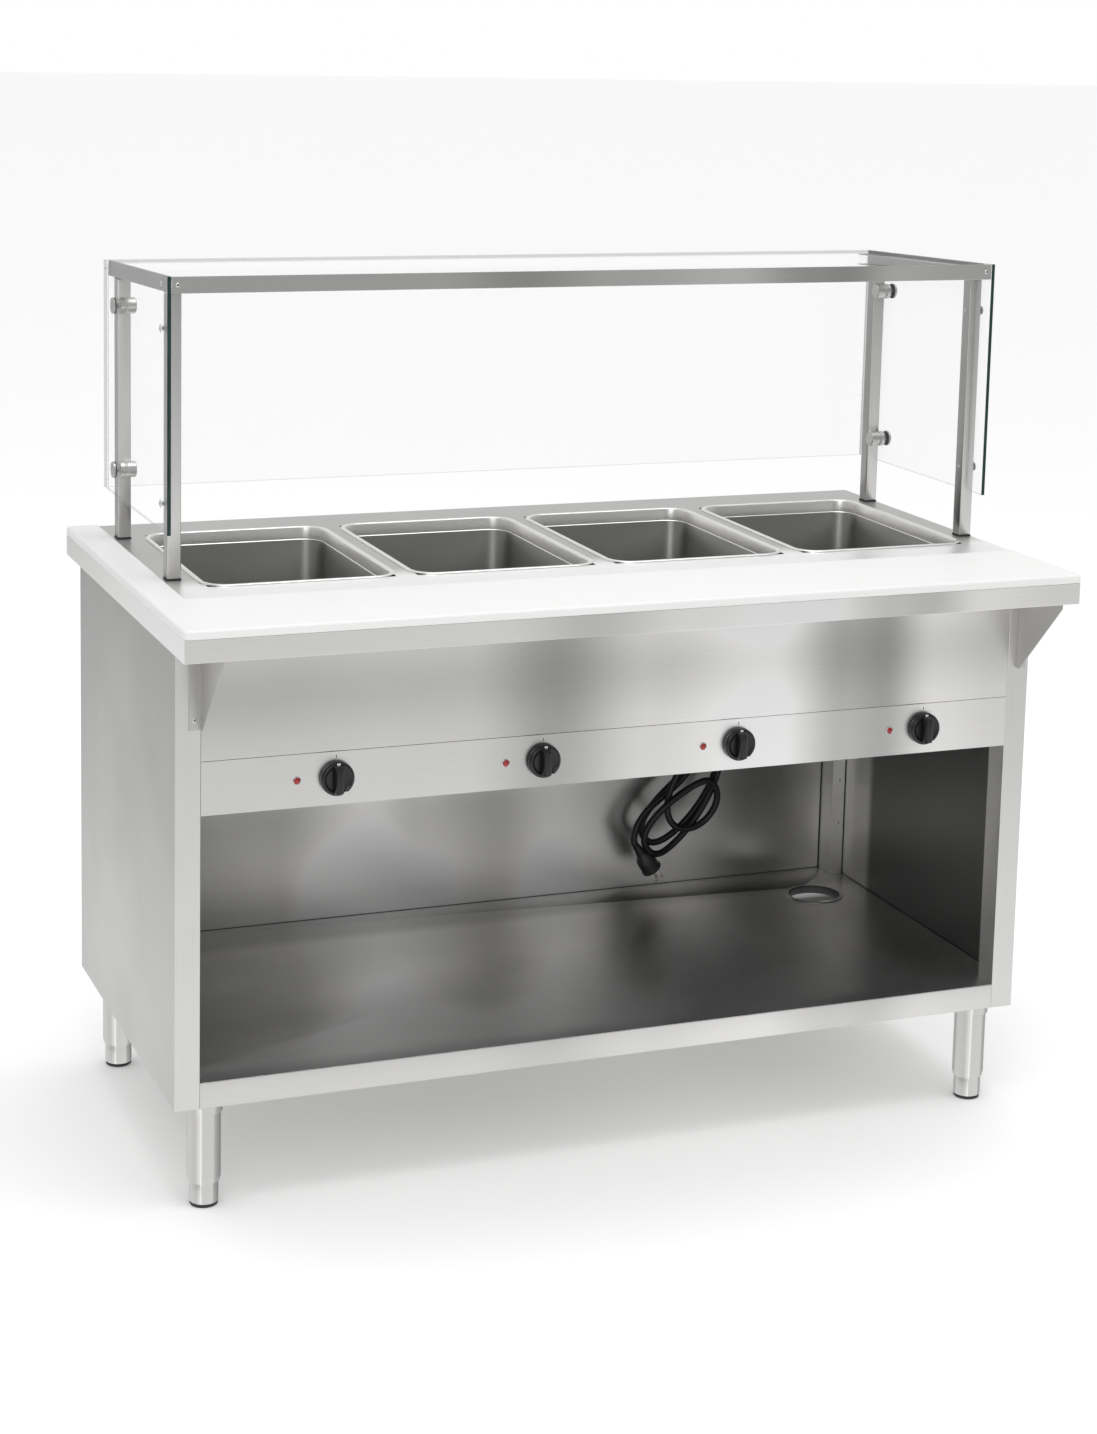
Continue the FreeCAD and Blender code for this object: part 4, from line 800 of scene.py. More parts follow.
def build_wells():
    """Drawn pans: rolled rim, bright collar, step and a darker body with a rounded floor."""
    look = shape()
    deck_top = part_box("deck")[1].z
    for index in WELLS:
        node = f"well_{index}"
        low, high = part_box(node)
        made = bmesh.new()
        bmesh.ops.create_grid(made, x_segments=1, y_segments=1, size=0.5)
        bmesh.ops.scale(made, vec=(high.x - low.x, high.y - low.y, 1), verts=made.verts)
        bmesh.ops.translate(made, vec=((high.x + low.x) / 2, (high.y + low.y) / 2,
                                       deck_top + 0.1 * MM), verts=made.verts)
        bmesh.ops.bevel(made, geom=made.verts[:], offset=WELL_CORNER, offset_type="OFFSET",
                        segments=10, profile=0.5, affect="VERTICES", clamp_overlap=True,
                        material=-1)
        made.faces.ensure_lookup_table()
        floor = made.faces[0]
        for inwards, up in RIM_ROLL:
            ring_step(made, floor, inwards * MM, deck_top + up * MM)
        collar_low = high.z - look.collar
        for inwards, down in COLLAR_STEP:
            ring_step(made, floor, inwards * MM, collar_low - down * MM)
        bottom = low.z + 1 * MM
        ring_step(made, floor, WELL_TAPER, bottom + look.floor_bend)
        turns = [math.pi / 2 * step / FLOOR_STEPS for step in range(FLOOR_STEPS + 1)]
        for before, turn in zip(turns, turns[1:]):
            inwards = look.floor_bend * (math.cos(before) - math.cos(turn))
            ring_step(made, floor, inwards, bottom + look.floor_bend * (1 - math.sin(turn)))
        for face in made.faces:
            below = face.calc_center_median().z < collar_low - 0.5 * MM
            face.material_index = 1 if below else 0
        bmesh.ops.recalc_face_normals(made, faces=made.faces)
        if floor.normal.z < 0:
            bmesh.ops.reverse_faces(made, faces=made.faces)
        piece = add_piece(f"{node}_drawn", made, "cabinet", ["collar", "well"],
                          [node], smooth=40)
        wall = piece.modifiers.new("wall", "SOLIDIFY")
        wall.thickness = WELL_WALL
        wall.offset = -1
    keep_node("heating_elements", "element")


# ---------------------------------------------------------------- controls


# Profiles in millimetres, as (radius, height from the panel's face).
KNOB_SKIRT = [(0, 0.2), (3.2, 0.2), (3.2, 0), (24.6, 0), (25.6, 0.8), (25.9, 2.2),
              (25.6, 6.6), (24.9, 8.6), (23.4, 10.0), (21.8, 10.6), (20.6, 10.3), (19.8, 9.6),
              (17.0, 9.2), (0, 9.2)]
LAMP_BEZEL = [(4.9, 0), (6.3, 0), (6.3, 0.6), (5.9, 1.5), (5.3, 1.9), (4.9, 1.6)]
LAMP_DOME = [(0, 0), (5, 0), (5, 1.2), (4.6, 2.2), (3.6, 3.1), (2.0, 3.7), (0, 3.9)]
LAMP_HOUSING = [(0, -26), (5, -26), (5, 0), (0, 0)]
LAMP_PARTS = [(LAMP_BEZEL, 32), (LAMP_DOME, 32), (LAMP_HOUSING, 24)]
GRIP_SIZE, GRIP_OUT, GRIP_TAPER = (17 * MM, 14.6 * MM, 44 * MM), 16.6 * MM, (0.52, 0.86)
NOTCH_AT, NOTCH_HALF, NOTCH_DEPTH = math.radians(-62), math.radians(6), 0.9
LAMP_ASIDE = 60 * MM              # from a knob's axis to its lamp
TICK_ABOVE, TICK_HALF, TICK_TALL = 29.5 * MM, 0.6 * MM, 4.5 * MM


def knob_shell(centre, face_y):
    """A round knob: stepped skirt, shallow dish, and a tapered grip across it."""
    made = turned(in_mm(KNOB_SKIRT), "-y")
    for vert in made.verts:
        angle = math.atan2(vert.co.z, vert.co.x)
        reach = math.hypot(vert.co.x, vert.co.z)
        if abs(angle - NOTCH_AT) < NOTCH_HALF and reach > 23 * MM:
            vert.co.x *= NOTCH_DEPTH
            vert.co.z *= NOTCH_DEPTH
    grip = bmesh.new()
    bmesh.ops.create_cube(grip, size=1)
    bmesh.ops.scale(grip, vec=GRIP_SIZE, verts=grip.verts)
    bmesh.ops.translate(grip, vec=(0, -GRIP_OUT, 0), verts=grip.verts)
    for vert in grip.verts:
        if vert.co.y < -20 * MM:
            vert.co.x *= GRIP_TAPER[0]
            vert.co.z *= GRIP_TAPER[1]
    ease(grip, 2.6 * MM, 4, least=20)
    take_in(made, grip, 0)
    mark = bar((-2.4 * MM, -10.9 * MM, 20.9 * MM), (2.4 * MM, -9.9 * MM, 24.2 * MM), 0.2 * MM)
    take_in(made, mark, 1)
    bmesh.ops.translate(made, vec=(centre.x, face_y, centre.z), verts=made.verts)
    return made


def build_controls():
    """Knobs with their ticks, pilot lamps and the switches behind the panel."""
    panel_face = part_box("control_panel")[0].y
    ticks = bmesh.new()
    lamps = bmesh.new()
    for index in WELLS:
        node = f"knob_{index}"
        low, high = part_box(node)
        middle = (low + high) / 2
        add_piece(f"{node}_moulded", knob_shell(middle, high.y), f"dial_{index}",
                  ["knob", "mark"], [node], smooth=38)
        keep_node(f"control_shaft_{index}", "bright")
        foot = middle.z + TICK_ABOVE
        take_in(ticks, bar((middle.x - TICK_HALF, panel_face - 0.12 * MM, foot),
                           (middle.x + TICK_HALF, panel_face + 0.1 * MM, foot + TICK_TALL)),
                0)
        lamp_at = (middle.x - LAMP_ASIDE, panel_face, middle.z)
        for slot, (profile, steps) in enumerate(LAMP_PARTS):
            take_in(lamps, turned(in_mm(profile), "-y", lamp_at, steps), slot)
    add_piece("dial_ticks", ticks, "cabinet", ["ink"])
    add_piece("pilot_lamps_lit", lamps, "cabinet", ["bright", "lamp", "grey"],
              ["pilot_lamps"], smooth=50)
    eased_node("switch_bodies", "cabinet", "grey", 0.8 * MM)


# ---------------------------------------------------------------- legs and feet


# Profiles in millimetres, as (radius, height above the floor).
LEG_OUTSIDE = [(22.4, 38.2), (23.6, 38.0), (24.2, 40.0), (25.2, 44.5), (25.4, 47),
               (25.4, 147), (27.2, 147), (28.0, 147.6), (28.2, 148.6)]
LEG_INSIDE = [(22, 157), (23.6, 156), (23.6, 47), (22.4, 44)]
FOOT_OUTSIDE = [(0, 5.1), (19.6, 5.1), (20.9, 5.6), (21.6, 7.2), (21.8, 9), (21.8, 33),
                (21.6, 33.4), (21.6, 60), (8, 60)]
FOOT_PAD = [(0, 0), (18.8, 0), (20.4, 0.5), (21.0, 1.6), (21.0, 4.2), (20.4, 5.0), (0, 5.0)]
FLAT_HALF = 20.4 * MM             # half the width across a foot's two spanner flats


def leg_axes():
    """Number of each leg, with its axis."""
    for index in WELLS:
        low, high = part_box(f"foot_{index}")
        yield index, (low.x + high.x) / 2, (low.y + high.y) / 2


def foot_shell(top):
    """A levelling foot with two spanner flats and a stem that ends at a height."""
    foot = turned(in_mm([*FOOT_OUTSIDE, (8, top / MM), (0, top / MM)]))
    shank = [face for face in foot.faces if 8 * MM < face.calc_center_median().z < 30 * MM]
    for side in (1, -1):
        near = {vert for face in shank for vert in face.verts
                if vert.co.z > 30 * MM and vert.co.y * side > FLAT_HALF}
        for vert in near:
            vert.co.y = side * FLAT_HALF
    return foot


def build_legs():
    """Four tube legs, and a foot and a pad on each leveller."""
    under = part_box("legs")[1].z / MM
    profile = [*LEG_OUTSIDE, (28.2, under), (22, under), *LEG_INSIDE]
    legs = bmesh.new()
    for index, x, y in leg_axes():
        take_in(legs, turned(in_mm(profile), at=(x, y, 0)), 0)
    add_piece("legs_turned", legs, "cabinet", ["leg"], ["legs"], smooth=28)
    for index, x, y in leg_axes():
        foot = foot_shell(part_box(f"foot_{index}")[1].z)
        bmesh.ops.translate(foot, vec=(x, y, 0), verts=foot.verts)
        add_piece(f"foot_{index}_turned", foot, f"leveller_{index}",
                  ["leg"], [f"foot_{index}"], smooth=28)
        add_piece(f"foot_pad_{index}_moulded", turned(in_mm(FOOT_PAD), at=(x, y, 0)),
                  f"leveller_{index}", ["rubber"], [f"foot_pad_{index}"],
                  smooth=40)


# ---------------------------------------------------------------- food guard


RAIL_EASE, GASKET_EASE = 0.45 * MM, 0.3 * MM


def build_guard_frame():
    """Posts, rails and gaskets; the upper front gaskets are clear washers."""
    posts = ease(merged_copy("guard_posts"), shape().tube_ease, 3)
    # The posts' side faces take a darker tone than their front and back faces: painted shade.
    for face in posts.faces:
        face.material_index = int(abs(face.normal.x) > 0.7)
    add_piece("guard_posts_eased", posts, "cabinet", ["post", "post_side"],
              ["guard_posts"], smooth=40)
    # Painted light: the front rail carries painted reflection bands, the end rails a darker tone
    # of painted shade.
    for node, label in (("top_rail_front", "rail"), ("top_rail_left", "end_rail"),
                        ("top_rail_right", "end_rail")):
        eased_node(node, "cabinet", label, RAIL_EASE)
    gaskets = ease(merged_copy("guard_gaskets"), GASKET_EASE, 1)
    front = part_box("guard_gaskets")[0].y + 30 * MM
    glass_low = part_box("glass_left")[0].z
    for face in gaskets.faces:
        middle = face.calc_center_median()
        face.material_index = int(middle.y < front and middle.z > glass_low)
    add_piece("guard_gaskets_eased", gaskets, "cabinet",
              ["rubber", "washer"], ["guard_gaskets"])


# The axis along which each pane's broad faces look.
PANE_NORMAL = {"glass_top": 2, "glass_rear": 1, "glass_left": 0, "glass_right": 0}


def build_glass():
    """Panes with ground edges; the front edges of the side panes show deep green."""
    for node, normal in PANE_NORMAL.items():
        made = merged_copy(node)
        ease(made, shape().glass_ease, 2, least=60)
        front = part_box(node)[0].y
        for face in made.faces:
            if abs(face.normal[normal]) > 0.9:
                continue
            deep = normal == 0 and face.calc_center_median().y < front + 2 * MM
            face.material_index = 1 if deep else 2
        add_piece(f"{node}_pane", made, "cabinet",
                  ["glass", "glass_edge", "glass_line"], [node])


# Profiles in millimetres, as (radius, height along the clamp's axis).
CLAMP_DISC = [(0, 0), (12.2, 0), (13, 0.8), (13, 3.2), (12.2, 4), (7.5, 4), (0, 4)]
CLAMP_BARREL = [(0, 0), (12.4, 0), (13, 0.6), (13, 7.4), (12.2, 8.2), (11.4, 8.8),
                (11.4, 10.2), (12.2, 10.8), (13, 11.6), (13, 24.8), (12.0, 26), (0, 26)]
CLAMP_CAP = [(0, 0), (3.4, 0), (3.6, 0.2), (3.5, 0.5), (2.8, 0.9), (1.6, 1.1), (0, 1.1)]
CLAMP_RADIUS, CAP_RADIUS, DISC_THICK = 13 * MM, 7 * MM, 4 * MM
POST_WIDE, BOLT_LONG = 22 * MM, 9 * MM
BOLT_RADIUS = {"rear": 3 * MM, "front": 1.6 * MM}


def clamp_spots():
    """Centres of the glass clamps, with their side and row."""
    low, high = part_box("glass_clamps")
    rows = {"front": low.y + CAP_RADIUS, "rear": high.y - CLAMP_RADIUS}
    for side in SIDES:
        for row, y in rows.items():
            for z in (low.z + CLAMP_RADIUS, high.z - CLAMP_RADIUS):
                yield side, row, y, z


def build_clamps():
    """Rear discs and barrels, and small domed caps and bolts at the front posts."""
    low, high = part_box("glass_clamps")
    posts_low, posts_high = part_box("guard_posts")
    made = bmesh.new()
    for side, row, y, z in clamp_spots():
        outward = outward_of(side)
        outer = low.x + DISC_THICK if side == "left" else high.x - DISC_THICK
        inner = posts_low.x if side == "left" else posts_high.x
        bolt = [(0, 0), (BOLT_RADIUS[row], 0), (BOLT_RADIUS[row], BOLT_LONG), (0, BOLT_LONG)]
        if row == "rear":
            parts = [(in_mm(CLAMP_DISC), outer, outward, 32),
                     (in_mm(CLAMP_BARREL), inner, -outward, 12)]
        else:
            parts = [(in_mm(CLAMP_CAP), outer, outward, 32),
                     (in_mm(CLAMP_CAP), inner - outward * POST_WIDE, -outward, 32)]
        for profile, start, way, steps in (*parts, (bolt, inner, outward, 16)):
            part = turned(profile, steps=steps)
            turn = Matrix.Rotation(way * math.pi / 2, 4, "Y")
            bmesh.ops.transform(part, matrix=Matrix.Translation((start, y, z)) @ turn,
                                verts=part.verts)
            take_in(made, part, 0)
    add_piece("glass_clamps_turned", made, "cabinet", ["clamp"],
              ["glass_clamps"], smooth=35)


def screw_head(at, axis="-y", radius=3.6 * MM, height=1.4 * MM):
    """A low domed head with a round dark drive recess."""
    profile = [(0, -0.1 * MM), (radius, -0.1 * MM), (radius, 0.25 * height),
               (0.86 * radius, 0.72 * height), (0.55 * radius, height),
               (0.38 * radius, height), (0.33 * radius, 0.35 * height),
               (0, 0.35 * height)]
    made = turned(profile, axis, at, 20)
    for face in made.faces:
        middle = face.calc_center_median() - Vector(at)
        if abs(middle.y) < height * 0.9 and math.hypot(middle.x, middle.z) < 0.37 * radius \
                and abs(middle.y) > 0.1 * MM:
            face.material_index = 1
    return made


def solids(made):
    """The corners of each separate solid of a bmesh."""
    seen = set()
    for vert in made.verts:
        if vert in seen:
            continue
        island = [vert]
        seen.add(vert)
        for reached in island:
            for edge in reached.link_edges:
                other = edge.other_vert(reached)
                if other not in seen:
                    seen.add(other)
                    island.append(other)
        yield island


def build_screws():
    """Heads on each screw of the frame, and two buttons on each side rail's glass."""
    source = merged_copy("screws")
    made = bmesh.new()
    for island in solids(source):
        low = Vector(min(spot.co[axis] for spot in island) for axis in range(3))
        high = Vector(max(spot.co[axis] for spot in island) for axis in range(3))
        middle = (low + high) / 2
        take_in(made, screw_head((middle.x, high.y, middle.z)))
    source.free()
    from_end = 14 * MM
    for side in SIDES:
        pane_low, pane_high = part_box(f"glass_{side}")
        rail_low, rail_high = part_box(f"top_rail_{side}")
        face = pane_low.x if side == "left" else pane_high.x
        third = (rail_high.z - rail_low.z) / 3
        turn = Matrix.Rotation(outward_of(side) * math.pi / 2, 4, "Z")
        for y, z in ((rail_low.y + from_end, rail_high.z - third),
                     (rail_high.y - from_end, rail_low.z + third)):
            button = screw_head((0, 0, 0))
            bmesh.ops.transform(button, matrix=Matrix.Translation((face, y, z)) @ turn,
                                verts=button.verts)
            take_in(made, button)
    add_piece("screws_headed", made, "cabinet", ["bright", "recess"],
              ["screws"], smooth=40)


# ---------------------------------------------------------------- supply cord

# Steps down from where the cord leaves the gland, in millimetres.
LEAD = [(0, 0, 0), (0, 0, -28), (-3, 1, -60)]
# Turning points of the hank, top and bottom by turns, in millimetres: distance up the
# hank's axis, shift to its left, and depth towards the back.
HANK_TURNS = [(186, -20, 24), (-33, 0, 18), (178, -10, 17), (17, -15, -8), (120, -20, -20),
              (-46, -6, -8), (190, 2, 5)]
# The runs between them: half width, how late the widest place comes, and the shares
# of the run between which it changes its depth.
HANK_RUNS = [(38, 0.8, 0, 1), (42, 0, 0, 1), (49, 0, 0, 0.12), (46, 0, 0.4, 1),
             (46, 0.5, 0.5, 1), (48, 0, 0, 0.3)]
# The run from the hank's top down to the plug, in the measures of the turning points.
TAIL = [(190, 2, 4.5), (189, 10, 4.5), (184, 18, 4.5), (173, 21, 4.5), (158, 19, 4.5),
        (140, 15, 4.5), (116, 14, 4.5), (90, 17, 4.5), (66, 24, 4.5), (44, 33, 4.5),
        (24, 40, 4.5), (4, 44, 4), (-18, 45, 2)]
PLUG_RISES = (42, 26, 12)         # the cord's last points above the plug's back
TURN_STEPS = 8                    # points of a run
HANK_RADIUS = 50 * MM             # of the space that the frame keeps for the hank
LED_IN = 2                        # points of the first run that the lead stands for
PLUG_RADIUS, PLUG_LEAN = 20 * MM, math.radians(35)
# Profiles in millimetres, as (radius, height above the plug's back).
PLUG_OUTLINE = [(0, 30), (6.4, 30), (7.2, 28), (6.6, 26), (7.8, 24), (7.2, 21.5), (8.6, 19.5),
                (8.0, 17), (9.6, 15), (9.2, 12.5), (11.5, 9), (15, 4), (16.8, -2), (17.2, -8),
                (17.2, -15), (16.6, -17.5), (16.6, -20), (18.6, -22), (18.6, -25.5),
                (17.8, -26.5), (0, -26.5)]
GROUND_PIN = [(0, -26), (2.5, -26), (2.5, -48.5), (2.0, -50.2), (1.0, -51), (0, -51)]
BLADE_APART, BLADE_HALF = 6.5, 2.6


def hank_route():
    """Steps of the hank's turns, which swing round its leaning axis."""
    for index, (width, lag, begin, close) in enumerate(HANK_RUNS):
        start, end = HANK_TURNS[index], HANK_TURNS[index + 1]
        way = 1 if index % 2 == 0 else -1
        for step in range(TURN_STEPS):
            part = step / TURN_STEPS
            swing = (1 - math.cos(math.pi * part)) / 2
            reach = start[0] + (end[0] - start[0]) * swing
            shift = start[1] + (end[1] - start[1]) * swing
            shift += way * width * math.sin(math.pi * part * (1 - lag + lag * part))
            swap = min(max((part - begin) / (close - begin), 0), 1)
            swap = swap * swap * (3 - 2 * swap)
            yield reach, shift, start[2] + (end[2] - start[2]) * swap


def plug_frame():
    """Centre of the plug's back, and the turn that leans it."""
    low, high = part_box("plug_body")
    back = Vector((low.x + PLUG_RADIUS * math.cos(PLUG_LEAN), (low.y + high.y) / 2,
                   high.z - PLUG_RADIUS * math.sin(PLUG_LEAN)))
    return back, Matrix.Rotation(-PLUG_LEAN, 4, "Y")


def cord_points():
    """The cord's way: down from the gland, round the hank and on to the plug."""
    gland_low, gland_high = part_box("cord_gland")
    gland = (gland_low + gland_high) / 2
    start = Vector((gland.x, gland.y, gland_low.z + 10 * MM))
    low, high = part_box("supply_cord_hank")
    low_end = Vector((low.x + HANK_RADIUS, 0, low.z + HANK_RADIUS))
    high_end = Vector((high.x - HANK_RADIUS, 0, high.z - HANK_RADIUS))
    middle_y = (low.y + high.y) / 2
    along = (high_end - low_end).normalized()
    left = Vector((-along.z, 0, along.x))
    points = [start + Vector(step) * MM for step in LEAD]
    for reach, shift, depth in (*list(hank_route())[LED_IN:], *TAIL):
        spot = low_end + along * (reach * MM) + left * (shift * MM)
        points.append(Vector((spot.x, middle_y + depth * MM, spot.z)))
    back, lean = plug_frame()
    points += [back + lean.to_3x3() @ Vector((0, 0, rise * MM)) for rise in PLUG_RISES]
    return points


def build_cord():
    """The supply cord, as one smooth curve."""
    points = cord_points()
    curve = bpy.data.curves.new("supply_cord", "CURVE")
    curve.dimensions = "3D"
    curve.bevel_depth = shape().cord / 2
    curve.bevel_resolution = 6
    curve.resolution_u = 8
    curve.use_fill_caps = True
    line = curve.splines.new("NURBS")
    line.points.add(len(points) - 1)
    for spot, point in zip(line.points, points):
        spot.co = (*point, 1)
    line.order_u = 3
    line.use_endpoint_u = True
    curve.materials.append(material("jacket"))
    cord = bpy.data.objects.new("supply_cord", curve)
    bpy.context.collection.objects.link(cord)
    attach(cord, "cabinet")
    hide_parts("supply_cord_lead", "supply_cord_hank")
    return cord, points[0]


def build_plug():
    """Moulded plug: ribbed strain relief, rounded body, flat face and three pins."""
    back, lean = plug_frame()
    place = Matrix.Translation(back) @ lean
    shell = turned(in_mm(PLUG_OUTLINE), steps=40)
    bmesh.ops.transform(shell, matrix=place, verts=shell.verts)
    add_piece("plug_moulded", shell, "cabinet", ["nylon"], ["plug_body"],
              smooth=40)
    pins = bmesh.new()
    for middle in (-BLADE_APART, BLADE_APART):
        blade = bar(((middle - BLADE_HALF) * MM, -6 * MM, -49 * MM),
                    ((middle + BLADE_HALF) * MM, -4.2 * MM, -26 * MM), 0.35 * MM)
        take_in(pins, blade, 0)
    take_in(pins, turned(in_mm(GROUND_PIN), at=(0, 8 * MM, 0), steps=20), 0)
    bmesh.ops.transform(pins, matrix=place, verts=pins.verts)
    add_piece("plug_pins", pins, "cabinet", ["nickel"], ["plug_blades"], smooth=40)


def build_gland():
    """Ribbed nut, flange and tapered nose round the cord."""
    low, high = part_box("cord_gland")
    x, y = (low.x + high.x) / 2, (low.y + high.y) / 2
    nose = low.z / MM
    under, over = (corner.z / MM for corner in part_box("housing_floor"))
    outline = [(6, nose), (7.6, nose), (8.2, nose + 2), (9, under - 21), (10.8, under - 9),
               (13.4, under - 8), (14, under - 7), (14, under), (9.5, under), (9.5, over),
               (13, over), (13, over + 5.4), (12.4, over + 6), (6, over + 6)]
    made = turned(in_mm(outline), at=(x, y, 0), steps=32)
    add_piece("cord_gland_ribbed", made, "cabinet", ["nylon"], ["cord_gland"],
              smooth=35)
    low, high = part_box("cord_strap")
    strap = bar(low, high, 0.5 * MM)
    add_piece("cord_strap_web", strap, "cabinet", ["rubber"], ["cord_strap"])


def build_supply():
    """Cord, plug, gland and strap."""
    cord, start = build_cord()
    build_plug()
    build_gland()
    tuple(start)


# ---------------------------------------------------------------- stage


# How bright the steel sees the floor near and far, and the room in front and behind.
FLOOR_NEAR, FLOOR_FAR, FLOOR_BRIGHT, FLOOR_DIM = 1.5, 6.0, 0.98, 0.55
ROOM_FRONT, ROOM_BACK, ROOM_DIM, ROOM_BRIGHT = -0.8, 0.6, 0.45, 1.0
# Soft boxes: name, place, aim, size and power.
LAMPS = (("overhead_soft", (0.2, -0.6, 4.2), (0, 0, 0.6), (3.4, 2.6), 62),
         ("front_soft", (-2.4, -4.4, 2.6), (0, 0, 0.7), (2.2, 2.2), 34))
FLOOR_HALF, PAPER_ROUGH, SENSOR, FAR = 60, 0.9, 36, 200


def add_stage_object(name, made, tint):
    """A mesh that is part of the stage."""
    mesh = bpy.data.meshes.new(name)
    made.to_mesh(mesh)
    made.free()
    recipe = Recipe(name)
    recipe.surface(Base_Color=tint, Roughness=PAPER_ROUGH)
    mesh.materials.append(recipe.material)
    item = bpy.data.objects.new(name, mesh)
    bpy.context.collection.objects.link(item)
    return item


def mapped(tree, *numbers):
    """A range node that maps from a low and a high number to two others."""
    made = tree.nodes.new("ShaderNodeMapRange")
    for socket, number in zip(("From Min", "From Max", "To Min", "To Max"), numbers):
        made.inputs[socket].default_value = number
    return made


def seen_in_steel(tree, plain, mirrored, out):
    """Show one shader to mirror rays and another to all the rest."""
    path = tree.nodes.new("ShaderNodeLightPath")
    either = tree.nodes.new("ShaderNodeMixShader")
    tree.links.new(path.outputs["Is Glossy Ray"], either.inputs["Fac"])
    tree.links.new(plain, either.inputs[1])
    tree.links.new(mirrored, either.inputs[2])
    tree.links.new(either.outputs["Shader"], out.inputs["Surface"])


def add_floor(stage):
    """A white sweep that looks dimmer in the steel with distance."""
    made = bmesh.new()
    bmesh.ops.create_grid(made, x_segments=1, y_segments=1, size=FLOOR_HALF)
    item = add_stage_object("floor", made, stage.floor)
    tree = item.data.materials[0].node_tree
    place = tree.nodes.new("ShaderNodeTexCoord")
    far = tree.nodes.new("ShaderNodeVectorMath")
    far.operation = "LENGTH"
    share = mapped(tree, FLOOR_NEAR, FLOOR_FAR, FLOOR_BRIGHT, FLOOR_DIM)
    glow = tree.nodes.new("ShaderNodeEmission")
    tree.links.new(place.outputs["Object"], far.inputs[0])
    tree.links.new(far.outputs["Value"], share.inputs["Value"])
    tree.links.new(share.outputs["Result"], glow.inputs["Strength"])
    seen_in_steel(tree, tree.nodes["Principled BSDF"].outputs["BSDF"],
                  glow.outputs["Emission"], tree.nodes["Material Output"])


def add_sky(stage):
    """Even white light all round; the steel sees it bright behind and dim in front."""
    world = bpy.data.worlds.new("studio")
    world.use_nodes = True
    tree = world.node_tree
    plain = tree.nodes["Background"]
    plain.inputs["Color"].default_value = (1, 1, 1, 1)
    plain.inputs["Strength"].default_value = stage.sky
    place = tree.nodes.new("ShaderNodeTexCoord")
    apart = tree.nodes.new("ShaderNodeSeparateXYZ")
    share = mapped(tree, ROOM_FRONT, ROOM_BACK, ROOM_DIM, ROOM_BRIGHT)
    mirrored = tree.nodes.new("ShaderNodeBackground")
    tree.links.new(place.outputs["Generated"], apart.inputs["Vector"])
    tree.links.new(apart.outputs["Y"], share.inputs["Value"])
    tree.links.new(share.outputs["Result"], mirrored.inputs["Strength"])
    seen_in_steel(tree, plain.outputs["Background"], mirrored.outputs["Background"],
                  tree.nodes["World Output"])
    bpy.context.scene.world = world


def add_lamp(name, at, aim, size, power):
    """A soft box at a place, aimed at another."""
    light = bpy.data.lights.new(name, "AREA")
    light.shape = "RECTANGLE"
    light.size = size[0]
    light.size_y = size[1]
    light.energy = power
    item = bpy.data.objects.new(name, light)
    item.location = at
    item.rotation_euler = (Vector(aim) - Vector(at)).to_track_quat("-Z", "Y").to_euler()
    bpy.context.collection.objects.link(item)


def add_camera(stage):
    """The camera, turned by its yaw, pitch and roll."""
    camera = bpy.data.cameras.new("camera")
    camera.lens = stage.lens
    camera.sensor_width = SENSOR
    camera.shift_y = stage.shift
    camera.clip_end = FAR
    item = bpy.data.objects.new("camera", camera)
    forward = Vector((math.sin(stage.yaw) * math.cos(stage.pitch),
                      math.cos(stage.yaw) * math.cos(stage.pitch), -math.sin(stage.pitch)))
    level = Vector((math.cos(stage.yaw), -math.sin(stage.yaw), 0))
    upright = level.cross(forward)
    right = level * math.cos(stage.roll) + upright * math.sin(stage.roll)
    up = upright * math.cos(stage.roll) - level * math.sin(stage.roll)
    turn = Matrix((right, up, -forward)).transposed()
    item.matrix_world = Matrix.Translation(stage.camera_at) @ turn.to_4x4()
    bpy.context.collection.objects.link(item)
    bpy.context.scene.camera = item


def build_stage():
    """Floor, room light, soft boxes and camera."""
    stage = bpy.context.scene.food_table_stage
    add_floor(stage)
    add_sky(stage)
    for lamp in LAMPS:
        add_lamp(*lamp)
    add_camera(stage)
    bpy.context.scene.view_settings.view_transform = "Standard"


# ---------------------------------------------------------------- add-on


class FoodTableOperator:
    """Common part of the table's operators."""
    bl_options = {"REGISTER", "UNDO"}
    build = None

    def execute(self, context):
        type(self).build()
        return {"FINISHED"}


class FOODTABLE_OT_stage(FoodTableOperator, bpy.types.Operator):
    """Add the floor, the soft light and the camera"""
    bl_idname = "food_table.stage"
    bl_label = "Stage"
    build = staticmethod(build_stage)


class FOODTABLE_OT_cabinet(FoodTableOperator, bpy.types.Operator):
    """Add the cabinet's sheets and the ring in its shelf"""
    bl_idname = "food_table.cabinet"
    bl_label = "Cabinet"
    build = staticmethod(build_cabinet)


class FOODTABLE_OT_counter(FoodTableOperator, bpy.types.Operator):
    """Add the deck, the cutting boards and their trims"""
    bl_idname = "food_table.counter"
    bl_label = "Counter"
    build = staticmethod(build_counter)


class FOODTABLE_OT_wells(FoodTableOperator, bpy.types.Operator):
    """Add the drawn wells and their heating elements"""
    bl_idname = "food_table.wells"
    bl_label = "Wells"
    build = staticmethod(build_wells)


class FOODTABLE_OT_controls(FoodTableOperator, bpy.types.Operator):
    """Add the knobs, the pilot lamps and the switches"""
    bl_idname = "food_table.controls"
    bl_label = "Controls"
    build = staticmethod(build_controls)


class FOODTABLE_OT_legs(FoodTableOperator, bpy.types.Operator):
    """Add the legs, the levelling feet and their pads"""
    bl_idname = "food_table.legs"
    bl_label = "Legs"
    build = staticmethod(build_legs)


class FOODTABLE_OT_guard_frame(FoodTableOperator, bpy.types.Operator):
    """Add the food guard's posts, rails and gaskets"""
    bl_idname = "food_table.guard_frame"
    bl_label = "Guard frame"
    build = staticmethod(build_guard_frame)


